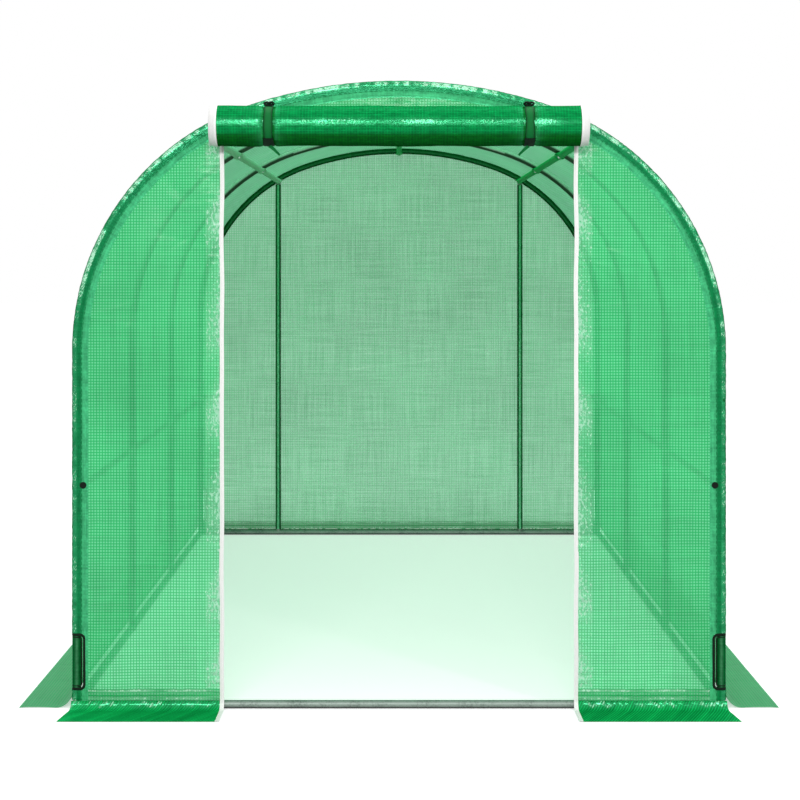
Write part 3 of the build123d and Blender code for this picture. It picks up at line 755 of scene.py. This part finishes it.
def panel_columns(start, end):
    """Columns that crowd together towards the outer edge, where the arch turns down."""
    t = np.linspace(0, 1, max(3, int((end - start) / (4.5 * MM))))
    return start + (end - start) * np.sin(math.pi / 2 * t) ** (1 / 1.15)


def build_end_panels():
    """The front end's three panels and the back end's one, each a grid in the end's plane."""
    side, half = panel_columns(DOOR_EDGE, PANEL_X), panel_columns(0, PANEL_X)
    middle = np.linspace(-DOOR_EDGE, DOOR_EDGE, 230)
    whole = np.concatenate([-half[::-1], half[1:]])[::2]
    over_edge = float(arch_height(DOOR_EDGE))
    for name, end, look, columns, bottom, top in (
        ("front_panel_right", "front", "film", side, PANEL_FOOT, over_edge),
        ("front_panel_left", "front", "film", -side, PANEL_FOOT, over_edge),
        ("front_panel_top", "front", "film", middle, DOOR_HEAD, TOP),
        ("rear_panel", "rear", "rear", whole, PANEL_FOOT, TOP),
    ):
        surface = Surface()
        panel_grid(surface, columns, bottom, end == "front")
        piece = surface.build(f"{name}_film", material(look), "mesh_film", name)


# ---------------------------------------------------------------- hems


def build_hems():
    """Sleeves round the end hoops: an arc of film from the hoop's outside round its front and on to
    the panel as a flat flap, carried along the arch and puckered by its two seams."""
    leg = leg_run(PANEL_FOOT)
    arc_steps, flap_steps = 18, 8
    arc = np.linspace(-HEM_WRAP, 0.5 * math.pi, arc_steps)
    around = np.concatenate([arc, np.full(flap_steps, 0.5 * math.pi)])
    # a is the angle from the hoop's outside round to its front, and the flap then runs inwards by f
    s, a = table(spread(-leg, leg, 4 * MM), around)
    for front, end, flap in ((True, "front", FRONT_FLAP), (False, "rear", REAR_FLAP)):
        f = np.concatenate([np.zeros(arc_steps), np.linspace(0.12, 1, flap_steps) * flap])
        across = a * HEM_R + f
        seam = 0.9 * MM * puckers(s, 0, 51, 0.021, 1) + 0.5 * MM * wander(s + 0.02 * a, 52, 0.05)
        area = (-leg, leg, -6 * MM, 0.5 * math.pi * HEM_R)
        ridge = 1.1 * MM * creases(s, across, area, 53, 420, 0.03, 0.003)
        free = np.sin(np.clip(a + HEM_WRAP, 0, math.pi)) ** 0.5
        radius = np.minimum(HEM_R - 0.7 * MM + 0.7 * (seam + ridge) * free, HEM_R + 0.6 * MM)
        x, z = arch(s, HOOP_INSET - radius * np.cos(a) + f)
        arc_y = END_Y + radius * np.sin(a)
        flap_y = PANEL_MID + end_relief(x, z, front) + 1.1 * MM
        y = arc_y + (flap_y - arc_y) * smooth_step(f, 0, 6 * MM)
        broken = np.clip(1 + 0.25 * wander(s, 54, 0.05) + 0.25 * wander(s, 55, 0.3), 0.6, 1.3)
        # painted highlight: a broken pale stripe along the sleeve's curve, fainter on the legs, and a pale
        # line at the flap's inner edge
        band = smooth_step(across, 8 * MM, 11 * MM) * (1 - smooth_step(across, 23 * MM, 29 * MM))
        edge = 0.9 * bell(f, flap - 1 * MM, 2 * MM) * (f > 0)
        on_arch = 0.68 + 0.32 * smooth_step(np.abs(s), SPRING_RUN + 0.1, SPRING_RUN - 0.3)
        crease_and_painted_glint = np.maximum(np.maximum(1.1 * band * broken, edge), 0.35 * (f < 18 * MM)) * on_arch
        pale = np.maximum(smooth_step(f, 17 * MM, 20 * MM), 0.2 * band * broken * on_arch)
        hole = (z > HOLE_LOW) & (z < HOLE_HIGH) & in_hand_hole(np.where(f > 0, x, HALF_WIDTH), z, 1 * MM)
        surface = Surface()
        surface.add(x, -y if front else y, z, s, across, 1 - pale, crease_and_painted_glint, flip=not front, open_at=hole)
        piece = surface.build(f"{end}_hem_film", material("hem"), "hem_film", f"{end}_hem")


def build_sleeves():
    """Tight sleeves of film on the end hoops and the back posts: a circle just outside the tube,
    carried along the arch from foot to foot, or up a post. A narrow slit is left where its two edges
    meet, on a hoop's outside and a post's back. Along its front the film is painted paler, a painted
    highlight, and shines more."""
    foot = 2 * TUBE + 5 * MM
    around = np.linspace(0.05, 2 * math.pi - 0.05, 29)
    leg, girth = leg_run(foot), 2 * math.pi * SLEEVE_R
    s, a = table(spread(-leg, leg, 14 * MM), around)
    x, z = arch(s, HOOP_INSET - SLEEVE_R * np.cos(a))
    painted_highlight = bell(a, 1.45 * math.pi, 0.35)
    for end, middle in (("front", -END_Y), ("rear", END_Y)):
        y = middle + SLEEVE_R * np.sin(a)
        surface = Surface()
        surface.add(x, y, z, s, a * SLEEVE_R, 1 - 0.2 * painted_highlight, 0.1 * painted_highlight, flip=True)
        piece = surface.build(f"{end}_hoop_sleeve", material("sleeve"), "hem_film")
    surface = Surface()
    top = high("rear_posts").z - 17 * MM
    z, a = table(spread(foot, top, 14 * MM), around + 0.5 * math.pi)
    painted_highlight = bell(a, 1.5 * math.pi, 0.4)
    for side in (1, -1):
        x, y = side * POST_X + SLEEVE_R * np.cos(a), END_Y + SLEEVE_R * np.sin(a)
        surface.add(x, y, z, z, a * SLEEVE_R, 1 - painted_highlight, 1.6 * painted_highlight, flip=True)
    piece = surface.build("rear_post_sleeves", material("sleeve"), "hem_film")


def build_bindings():
    """Tape bound over the edges of the hand holes: a flat oval section carried along the hole's top,
    round its inner corners and back along its bottom, and closed to a point at both ends."""
    inner, corner = HALF_WIDTH - HOLE_IN, HOLE_CORNER
    turn = np.linspace(0.5 * math.pi, math.pi, 9)
    outer = spread(HALF_WIDTH - 1.5 * MM, inner + corner, 2 * MM)
    down = spread(HOLE_HIGH - corner, HOLE_LOW + corner, 6 * MM)[1:-1]
    px = [outer[:-1], inner + corner + corner * np.cos(turn), np.full(len(down), inner)]
    pz = [np.full(len(outer) - 1, HOLE_HIGH), HOLE_HIGH - corner + corner * np.sin(turn), down]
    px, pz = np.concatenate(px), np.concatenate(pz)
    middle = (HOLE_LOW + HOLE_HIGH) / 2
    upper = pz >= middle
    px = np.concatenate([px[upper], px[upper][::-1]])
    pz = np.concatenate([pz[upper], 2 * middle - pz[upper][::-1]])
    run = np.concatenate([[0], np.cumsum(np.hypot(np.diff(px), np.diff(pz)))])
    tangent = np.stack([np.gradient(px, run), np.gradient(pz, run)])
    tangent /= np.hypot(*tangent)
    size = np.sqrt(np.clip(np.minimum(run, run[-1] - run) / (2 * MM), 1e-3, 1))
    p, a = table(np.arange(len(px)), np.linspace(0, 2 * math.pi, 15)[:-1])
    surface = Surface()
    # the outer tape lies on the film, and a narrow dark strip inside the hole, behind it, is a painted
    # shadow beside the tube
    for half_width, half_depth, offset, lift in ((4.2, 1.5, 0.0, 0.6), (1.7, 1.5, 8.6, -2.5)):
        wide = (offset + half_width * size[p] * np.cos(a)) * MM
        thick = half_depth * MM * size[p] * np.sin(a)
        x = px[p] - tangent[1][p] * wide
        z = pz[p] + tangent[0][p] * wide
        round_hoop = np.sqrt(np.maximum(HEM_R**2 - np.maximum(x - HOOP_X, 0) ** 2, 0))
        y = END_Y + round_hoop + lift * MM + thick
        for side, end in ((1, 1), (1, -1), (-1, 1), (-1, -1)):
            surface.add(side * x, end * y, z, wide, run[p], flip=side * end < 0, wrap=True)
    surface.build("hand_hole_bindings", material("binding"), "tie_webbing")


# ---------------------------------------------------------------- skirts


def skirt_path(bend, reach, lift):
    """The skirt's run out of a wall: a quarter turn of the bend's radius, then flat on the ground.
    Returns how far out, how high, and the run along the film."""
    turn = np.linspace(0, 0.5 * math.pi, 12)
    flat = np.linspace(0, 1, 24)[1:] * (reach - bend)
    out = np.concatenate([bend * (1 - np.cos(turn)), bend + flat])
    up = np.concatenate([bend * (1 - np.sin(turn)), np.zeros(len(flat))]) + lift
    run = np.concatenate([bend * turn, bend * 0.5 * math.pi + flat])
    return out, up, run


def build_side_skirts():
    """Skirts of the walls: the skirt's path carried along the wall, lying in low waves."""
    out, up, run = skirt_path(WALL_FOOT - SHEET, SKIRT_X - HALF_WIDTH, 0.6 * SHEET)
    y, r = table(spread(-END_Y, END_Y, 9 * MM), run)
    free = smooth_step(r, 0.06, 0.12) * (1 - 0.8 * smooth_step(r, run[-1] - 0.03, run[-1]))
    wave = 1.0 * MM + 2.6 * MM * (1 + wander(y + 0.5 * r, 61, 0.4)) / 2
    crease = 1.6 * MM * creases(y, r * 2, (-END_Y, END_Y, 0, 0.4), 62, 90, 0.12, 0.006)
    z = up + np.maximum(free * (wave + crease), 0) * (up < 6 * MM)
    for side, name in ((1, "right_skirt"), (-1, "left_skirt")):
        surface = Surface()
        x = side * (HALF_WIDTH - 0.5 * SHEET + out)
        surface.add(x, y, z, r + 1, y, 0.5, 0.15, flip=side > 0)
        piece = surface.build(f"{name}_film", material("cover"), "mesh_film", name)


def build_end_skirts():
    """Skirts of the ends: the skirt's path carried along the end panel, splayed towards the corners
    of the tunnel, gathered at the fold and creased where it lies. Only the threads that run outwards
    show, slantwise."""
    cell = 0.5 * bpy.context.scene.tunnel_film.pitch
    out, up, run = skirt_path(PANEL_FOOT - SHEET, SKIRT_REACH, 0.6 * SHEET)
    for front, start, end, name in (
        (True, DOOR_EDGE, HALF_WIDTH, "front_skirt_right"),
        (True, -HALF_WIDTH, -DOOR_EDGE, "front_skirt_left"),
        (False, -HALF_WIDTH, HALF_WIDTH, "rear_skirt"),
    ):
        x, r = table(spread(start, end, 4 * MM), run)
        near = np.exp(-r / 0.03)
        free = smooth_step(r, 0.02, 0.05) * (1 - 0.85 * smooth_step(r, run[-1] - 0.02, run[-1]))
        pleat = 2.6 * MM * puckers(x + 0.4 * r, 0, 71, 0.03, 1) * np.exp(-r / 0.04)
        if not front:
            pleat = np.maximum(pleat, 0)
        crease = 2.2 * MM * creases(x, r, (-1, 1, 0, run[-1]), 72, 150, 0.06, 0.005)
        wave = 1.6 * MM * (1 + wander(x, 73, 0.25)) / 2
        z = up + np.maximum(free * (wave + 0.6 * crease) + 0.5 * pleat, 0) * (1 - 0.3 * near)
        y = PANEL_MID + out + pleat * near
        outer = np.clip((np.abs(x) - DOOR_EDGE) / (HALF_WIDTH - DOOR_EDGE), 0, 1) * np.sign(x)
        splayed = x + SPLAY * (out / SKIRT_REACH) * outer
        bend = 0.010 + 0.006 * wander(x, 75, 0.03)
        fold = bell(r, bend, 0.010) * np.clip(0.8 + 0.4 * wander(x, 74, 0.1), 0, 1)
        surface = Surface()
        # the fold is doubled film, and its pale flecks are partly crease whitening and partly painted
        # glints
        surface.add(
            splayed, -y if front else y, z, x + 0.55 * r, cell + 0.02 * r, fold, 0.2 + 1.1 * fold,
            flip=not front,
        )
        piece = surface.build(f"{name}_film", material("skirt"), "mesh_film", name)


# ---------------------------------------------------------------- zips


def build_zips():
    """Zip tapes: a flat tape with a raised coil along its middle, carried down the doorway's edge,
    round the foot and out over the skirt. The coil is ribbed across by its teeth."""
    bend = PANEL_FOOT - SHEET
    turn = np.linspace(0, 0.5 * math.pi, 40)[1:]
    drop = spread(DOOR_HEAD, PANEL_FOOT, 1.3 * MM)
    flat = spread(0, SKIRT_REACH - bend, 1.3 * MM)[1:]
    out = np.concatenate([np.zeros(len(drop)), bend * (1 - np.cos(turn)), bend + flat])
    up = np.concatenate([drop, PANEL_FOOT - bend * np.sin(turn), np.full(len(flat), SHEET)])
    run = np.concatenate([[0], np.cumsum(np.hypot(np.diff(out), np.diff(up)))])
    tangent = np.stack([np.gradient(out), np.gradient(up)])
    tangent /= np.hypot(*tangent)
    width = DOOR_EDGE - DOOR_HALF + 1.0 * MM
    across = np.array([-0.5, -0.46, -0.3, -0.22, -0.14, -0.05, 0.05, 0.14, 0.22, 0.3, 0.46, 0.5])
    rise = np.array([0, 0.5, 0.6, 0.7, 1.5, 1.9, 1.9, 1.5, 0.7, 0.6, 0.5, 0]) * MM
    teeth = 0.5 * MM * (0.5 + 0.5 * np.sin(2 * math.pi * run / (5.2 * MM)))
    middle = (DOOR_HALF + DOOR_EDGE) / 2
    r, a = table(run, across * width)
    lift = rise + teeth[:, None] * (rise > 1.2 * MM)
    wobble = 1.2 * MM * wander(run, 81, 0.3)[:, None]
    y = -(PANEL_Y + out[:, None] - tangent[1][:, None] * lift)
    z = up[:, None] + tangent[0][:, None] * lift
    for side, name in ((1, "right_zip"), (-1, "left_zip")):
        surface = Surface()
        surface.add(side * (middle + a + wobble), y, z, a, r, flip=side < 0)
        surface.build(f"{name}_tape", material("zip"), "zip_tape", name)


# ---------------------------------------------------------------- rolled-up door


def from_tie(x):
    """How far a place along the roll is from the middle of the nearer tie."""
    return np.abs(np.abs(x) - TIE_MID)


def roll_radius(turn, x):
    """Radius of the wound film: a spiral, pinched flat under the ties, with crumples that run round
    it and fan out from the pinches."""
    pinch = np.exp(-((from_tie(x) / (20 * MM)) ** 4))
    area = (-ROLL_X, ROLL_X, 0, 2.3 * math.pi * ROLL_R)
    fold = 1.0 * MM * creases(x, turn * ROLL_R, area, 91, 150, 0.07, 0.006)
    bag = 0.9 * MM * wander(x + 0.03 * turn, 92, 0.4)
    fan = 2.0 * MM * np.exp(-from_tie(x) / (34 * MM)) * np.sin(9 * turn + 2 * wander(turn, 93, 2.0))
    relief = (bag + fold + fan) * (turn < 2 * math.pi + 0.8) * (1 - pinch) - PINCH * pinch
    return ROLL_R - 3.2 * MM - DOOR_PITCH * np.maximum(turn - 0.5 * math.pi, 0) / (2 * math.pi) + relief


def wound(surface, x, turns):
    """A stretch of the roll: turns of the spiral against places along it. The film comes down the
    panel, passes under the roll and winds up round its front."""
    t, px = table(turns, x)
    radius = np.maximum(roll_radius(t, px), 3 * MM)
    # painted shade: the lower half of the roll and the film beside each tie's pinch are made deeper
    painted_underside_shade = smooth_step(t, math.pi - 0.32, math.pi - 0.62)
    edge = bell(from_tie(px), 17 * MM, 4 * MM)
    broken = np.clip(0.95 + 0.5 * wander(px, 94, 0.22), 0.3, 1.4)
    beside = from_tie(px) - 20 * MM
    crushed = 0.08 + 0.5 * np.exp(-beside / (12 * MM)) * (beside > -2 * MM)
    # painted highlight: a broken band of pale glints along the roll's front, with crease glints beside the
    # ties
    crease_and_painted_glint = np.maximum(bell(t, math.pi + 0.14, 0.18) * broken, crushed)
    y, z = ROLL_Y + radius * np.cos(t), ROLL_Z - radius * np.sin(t)
    surface.add(px, y, z, px, t * ROLL_R, np.maximum(painted_underside_shade, edge), crease_and_painted_glint)


def thicken(piece, thickness, offset):
    """A tape's thickness, astride its surface where offset is 0 and on its outside where it is 1."""
    thick = piece.modifiers.new("tape thickness", "SOLIDIFY")
    thick.thickness, thick.offset = thickness, offset


def build_door_roll():
    """The rolled-up door: its film in one spiral, with a flap up the panel, and at each end the white
    zip tape wound in with it, stepped where its turns have slipped past each other."""
    surface = Surface()
    # the first turn, which shows, has a fine grid, and the turns inside it a coarse one
    outer_end, inner_end = 2.15 * math.pi, 2 * math.pi * DOOR_TURNS
    wound(surface, spread(-ROLL_X, ROLL_X, 4 * MM), np.linspace(0, outer_end, 150))
    inner = np.linspace(outer_end, inner_end, 40 * (DOOR_TURNS - 1))
    wound(surface, np.linspace(-ROLL_X, ROLL_X, 16), inner)
    z, x = table(np.linspace(high("door_roll").z, ROLL_Z, 8), spread(-ROLL_X, ROLL_X, 7 * MM))
    surface.add(x, -(PANEL_Y + 1.2 * MM) + 0 * z, z, x, -z)
    piece = surface.build("door_roll_film", material("roll"), "mesh_film", "door_roll")
    tapes = Surface()
    along = np.array([0, 0.3, 0.33, 0.62, 0.65, 1.0])
    slip = np.array([0, 0, 1.5, 1.5, 3.0, 3.0]) * MM
    t, px = table(np.linspace(0.2, inner_end, 60 * DOOR_TURNS), along)
    inset = slip * (t < 2 * math.pi)
    wavy = 0.06 * wander(t, 95, 3.0) * (px > 0.1) * (px < 0.9)
    radius = np.maximum(roll_radius(t, px * 0 + ROLL_X) + 1.4 * MM - inset, 3 * MM)
    x = ROLL_X - 1 * MM + (px + wavy) * (ROLL_END - ROLL_X)
    y, z = ROLL_Y + radius * np.cos(t), ROLL_Z - radius * np.sin(t)
    for side in (1, -1):
        tapes.add(side * x, y, z, px * 0.024, t * ROLL_R, flip=side < 0)
    thicken(tapes.build("roll_zip_tape", material("zip"), "zip_tape", "roll_zip_ends"), 1.2 * MM, 0)


def strap(surface, start, end, width, lift):
    """A strap round the roll at each tie, from one angle above the panel side to another: it lies on
    the pinched film, lifted off it, and curls a little at its edges."""
    angle, a = table(np.linspace(start, end, 70), np.linspace(-0.5, 0.5, 9))
    curl = np.abs(2 * a) ** 3
    radius = roll_radius(2 * math.pi - angle, TIE_MID + 0 * a) + lift - 1.0 * MM * curl
    y, z = ROLL_Y + radius * np.cos(angle), ROLL_Z + radius * np.sin(angle)
    for side in (1, -1):
        narrow = 1 - 0.12 * np.sin(2.3 * angle + side) ** 2
        x = side * TIE_MID + a * width * narrow
        # the curl also sets the doubled mark, a painted shade along the strap's edges
        surface.add(x, y, z, a * width, angle * ROLL_R, curl, flip=True)


def build_ties():
    """Ties: webbing from the panel round the roll, with a near-black band under the roll that is a
    painted shadow, a knot on top whose form is a trefoil curve squeezed flat, and a loose tail."""
    webbing = Surface()
    strap(webbing, 0.28 * math.pi, 1.78 * math.pi, TIE_WIDTH, 2.0 * MM)
    piece = webbing.build("roll_tie_webbing", material("tie"), "tie_webbing", "roll_ties")
    shadow_bands = Surface()
    # painted shadow: a near-black band over the strap's lower part
    strap(shadow_bands, 1.24 * math.pi, 1.60 * math.pi, TIE_WIDTH + 5 * MM, 3.8 * MM)
    shadow_band = shadow_bands.build("roll_tie_painted_shadows", material("binding"), "tie_webbing")
    tails = Surface()
    t, a = table(np.linspace(0, 1, 24), np.linspace(-0.5, 0.5, 5))
    turn = 0.5 * math.pi * t
    across = a * (8 * MM * (1 - 0.15 * t))
    x = TIE_MID - (2 + 30 * t) * MM
    y = ROLL_Y - 14 * MM - 6 * MM * np.sin(2 * turn) + across * np.sin(0.8 * turn)
    z = low("door_roll").z + 2 * MM - 27 * MM * t**1.2 + 0.7 * across
    for side in (1, -1):
        tails.add(side * (x - across * np.cos(0.8 * turn)), y, z, across, t * 0.05, flip=True)
    tail = tails.build("roll_tie_tails", material("tie"), "tie_webbing")
    for strip in (piece, shadow_band, tail):
        thicken(strip, 1.5 * MM, 1)
    knots = Surface()
    t, a = table(np.linspace(0, 2 * math.pi, 97)[:-1], np.linspace(0, 2 * math.pi, 13)[:-1])
    path = np.stack([np.sin(t) + 2 * np.sin(2 * t), np.cos(t) - 2 * np.cos(2 * t), -np.sin(3 * t)])
    path *= np.array([4.8, 3.2, 3.2])[:, None, None] * MM
    ahead = np.roll(path, -1, axis=1) - np.roll(path, 1, axis=1)
    ahead /= np.linalg.norm(ahead, axis=0)
    first = np.cross(ahead, np.array([0, 0, 1.0])[:, None, None], axis=0)
    first /= np.linalg.norm(first, axis=0)
    second = np.cross(ahead, first, axis=0)
    cord = path + 3.5 * MM * (first * np.cos(a) + second * np.sin(a))
    # the cord's first ring is met again at its end
    cord = np.concatenate([cord, cord[:, :1]], axis=1)
    t = np.concatenate([t, t[:1] + 2 * math.pi])
    a = np.concatenate([a, a[:1]])
    y, z = ROLL_Y - 10 * MM + cord[2], ROLL_Z + ROLL_R - 3 * MM + cord[1]
    for side in (1, -1):
        knots.add(side * (TIE_MID + cord[0]), y, z, a * 3 * MM, t * 0.02, flip=side > 0, wrap=True)
    knots.build("roll_tie_knots", material("binding"), "tie_webbing")


# ---------------------------------------------------------------- bolts


def build_bolts():
    """Bolts under the hoops: a washer and a hexagonal head turned about the bolt's axis, whose radius
    inside the head is that of a hexagon at each angle. One at each hoop and purlin."""
    rise = np.array([0.0, 1.2, 1.2, 1.3, 4.6, 5.2, 5.2]) * MM
    size = np.array([8.5, 8.5, 8.2, 5.0, 5.0, 4.4, 0.01]) * MM
    hexed = np.array([0, 0, 0, 1, 1, 0.6, 0])
    k, a = table(np.arange(len(rise)), np.linspace(0, 2 * math.pi, 37)[:-1])
    corner = 1 / np.cos(np.mod(a, math.pi / 3) - math.pi / 6)
    radius = size[k] * (1 + hexed[k] * (corner - 1))
    lean = math.asin((POST_X - SHOULDER_X) / (SHOULDER_R - HOOP_INSET))
    tab_drop = HOOP_INSET + TUBE + TAB_GAP + TAB
    surface = Surface()
    for turn, cx, cz, reach in (
        (0, 0, CROWN_Z, CROWN_R),
        (lean, SHOULDER_X, SPRING, SHOULDER_R),
        (-lean, -SHOULDER_X, SPRING, SHOULDER_R),
    ):
        for hoop, hoop_y in zip(HOOPS, HOOP_Y):
            # two tabs lie over each other at the middle hoops
            seat = reach - tab_drop - (TAB + TAB_GAP if hoop in ("second", "third") else 0)
            inward = seat - rise[k]
            across = radius * np.cos(a)
            x = cx + inward * math.sin(turn) + across * math.cos(turn)
            z = cz + inward * math.cos(turn) - across * math.sin(turn)
            surface.add(x, hoop_y + radius * np.sin(a), z, across, inward, wrap=True)
    surface.build("purlin_bolts", material("bolt"), "galvanised_tube")


# ---------------------------------------------------------------- frame finishes


# The middle hoops take painted lit copies of the zinc at the crowns and shoulders and a painted shaded copy
# on the legs
FINISHES = {
    "plug": "plug", "left_purlin": "left_purlin", "purlin": "purlin",
    "second_hoop_crown": "crown", "third_hoop_crown": "crown", "second_hoop_shoulders": "shoulder",
    "third_hoop_shoulders": "shoulder", "second_hoop": "leg", "third_hoop": "leg",
}


def finish_frame():
    """Finished materials for the tubes, rails, purlins and plugs, which keep their solids."""
    for name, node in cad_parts.items():
        if node.hide_render:
            continue
        kind = next((finish for part, finish in FINISHES.items() if part in name), "tube")
        node.data.materials.clear()
        node.data.materials.append(material(kind))


# ---------------------------------------------------------------- stage


def build_camera():
    """A level camera straight in front of the doorway, a little above chest height."""
    data = bpy.data.cameras.new("camera")
    data.lens = 70.65
    data.shift_x = 0.0012
    data.shift_y = -0.179
    camera = link("camera", data)
    camera.location = (0, -END_Y - CAMERA_AWAY, CAMERA_UP)
    camera.rotation_euler = (math.pi / 2, 0, 0)
    bpy.context.scene.camera = camera


def area_lamp(name, place, aim, size, power):
    """A rectangular lamp, turned so that it faces what it is aimed at."""
    data = bpy.data.lights.new(name, "AREA")
    data.shape = "RECTANGLE"
    data.size, data.size_y = size
    data.energy = power
    lamp = link(name, data)
    lamp.location = place
    x, y, z = np.array(aim, float) - np.array(place, float)
    lamp.rotation_euler = (math.atan2(math.hypot(x, y), -z), 0, math.atan2(y, x) - math.pi / 2)


def build_lamps():
    """A long strip in front, a tall one at the side, and a wide soft box overhead."""
    area_lamp("front_strip", (-0.6, -6.6, 2.9), (0, -1.5, 1.2), (3.2, 0.35), 150)
    area_lamp("side_strip", (3.4, -5.0, 3.0), (0, -1.0, 0.9), (0.4, 2.0), 45)
    area_lamp("top_softbox", (0, 0.0, 5.5), (0, 0, 0), (2.5, 5.0), 130)


def where_seen(m, lighting, seen):
    """Mixes two shaders: one for rays that carry light, and one for rays that come from the camera,
    through clear film or off a mirror."""
    kinds = ("Is Camera Ray", "Is Transmission Ray", "Is Glossy Ray")
    camera, through, mirrored = (put(m, "LightPath", {}, kind) for kind in kinds)
    either = put(m, "Math", {0: camera, 1: through}, operation="MAXIMUM")
    any_seen = put(m, "Math", {0: either, 1: mirrored}, operation="MAXIMUM")
    return put(m, "MixShader", {0: any_seen, 1: lighting, 2: seen})


def build_world():
    """White where it is seen or mirrored, and a plain soft grey where it lights the tunnel."""
    world = bpy.data.worlds.new("studio")
    bpy.context.scene.world = world
    world.use_nodes = True
    world.node_tree.nodes.clear()
    light = put(world, "Background", {"Color": linear("#FFFFFF"), "Strength": 0.7})
    white = put(world, "Background", {"Color": linear("#FFFFFF"), "Strength": 1.0})
    put(world, "OutputWorld", {"Surface": where_seen(world, light, white)})


def build_floor():
    """A plain white floor that keeps the tunnel's soft shadow."""
    m = new_material("white_studio_floor")
    face = put(m, "BsdfDiffuse", {"Color": linear("#909090")})
    seen_face = put(m, "BsdfDiffuse", {"Color": linear("#EDEDED")})
    glow = put(m, "Emission", {"Color": linear("#FFFFFF"), "Strength": 0.44})
    white = put(m, "AddShader", {0: seen_face, 1: glow})
    put(m, "OutputMaterial", {"Surface": where_seen(m, face, white)})
    size = 40.0
    mesh = bpy.data.meshes.new("floor")
    corners = [(-size, -size, 0), (size, -size, 0), (size, size, 0), (-size, size, 0)]
    mesh.from_pydata(corners, [], [(0, 1, 2, 3)])
    mesh.materials.append(m)
    link("floor", mesh)


# ---------------------------------------------------------------- operators and panel


class TUNNEL_OT_stage(bpy.types.Operator):
    """Add the camera, lamps, world and floor"""

    bl_idname = "tunnel.stage"
    bl_label = "Stage"

    def execute(self, context):
        build_camera()
        build_lamps()
        build_world()
        build_floor()
        return {"FINISHED"}


class TUNNEL_OT_barrel(bpy.types.Operator):
    """Lay the barrel sheet over the hoops"""

    bl_idname = "tunnel.barrel"
    bl_label = "Barrel Cover"

    def execute(self, context):
        build_barrel()
        return {"FINISHED"}


class TUNNEL_OT_end_panels(bpy.types.Operator):
    """Fit the front and back end panels"""

    bl_idname = "tunnel.end_panels"
    bl_label = "End Panels"

    def execute(self, context):
        build_end_panels()
        return {"FINISHED"}


class TUNNEL_OT_hems(bpy.types.Operator):
    """Sew the hems round the end hoops"""

    bl_idname = "tunnel.hems"
    bl_label = "Hems"

    def execute(self, context):
        build_hems()
        build_sleeves()
        build_bindings()
        return {"FINISHED"}


class TUNNEL_OT_skirts(bpy.types.Operator):
    """Lay the skirts on the ground"""

    bl_idname = "tunnel.skirts"
    bl_label = "Skirts"

    def execute(self, context):
        build_side_skirts()
        build_end_skirts()
        return {"FINISHED"}


class TUNNEL_OT_door(bpy.types.Operator):
    """Roll the door up over the doorway and add its zips and ties"""

    bl_idname = "tunnel.door"
    bl_label = "Rolled Door"

    def execute(self, context):
        build_door_roll()
        build_ties()
        build_zips()
        return {"FINISHED"}


class TUNNEL_OT_frame(bpy.types.Operator):
    """Finish the tubes, rails, purlins and plugs, and add the bolts"""

    bl_idname = "tunnel.frame"
    bl_label = "Frame"

    def execute(self, context):
        finish_frame()
        build_bolts()
        return {"FINISHED"}


STEPS = ("stage", "barrel", "end_panels", "hems", "skirts", "door", "frame")


class TUNNEL_PT_panel(bpy.types.Panel):
    """Lists the steps that build the tunnel"""

    bl_idname = "TUNNEL_PT_panel"
    bl_label = "Polytunnel"
    bl_space_type = "VIEW_3D"
    bl_region_type = "UI"
    bl_category = "Polytunnel"

    def draw(self, context):
        for step in STEPS:
            self.layout.operator(f"tunnel.{step}")


CLASSES = (
    FilmSettings,
    CoverSettings,
    TUNNEL_OT_stage,
    TUNNEL_OT_barrel,
    TUNNEL_OT_end_panels,
    TUNNEL_OT_hems,
    TUNNEL_OT_skirts,
    TUNNEL_OT_door,
    TUNNEL_OT_frame,
    TUNNEL_PT_panel,
)


def register():
    for cls in CLASSES:
        bpy.utils.register_class(cls)
    bpy.types.Scene.tunnel_film = PointerProperty(type=FilmSettings)
    bpy.types.Scene.tunnel_cover = PointerProperty(type=CoverSettings)


def unregister():
    del bpy.types.Scene.tunnel_cover
    del bpy.types.Scene.tunnel_film
    for cls in reversed(CLASSES):
        bpy.utils.unregister_class(cls)


def main():
    register()
    bpy.context.scene.view_settings.view_transform = "Standard"
    for step in STEPS:
        getattr(bpy.ops.tunnel, step)()


if __name__ == "__main__":
    main()
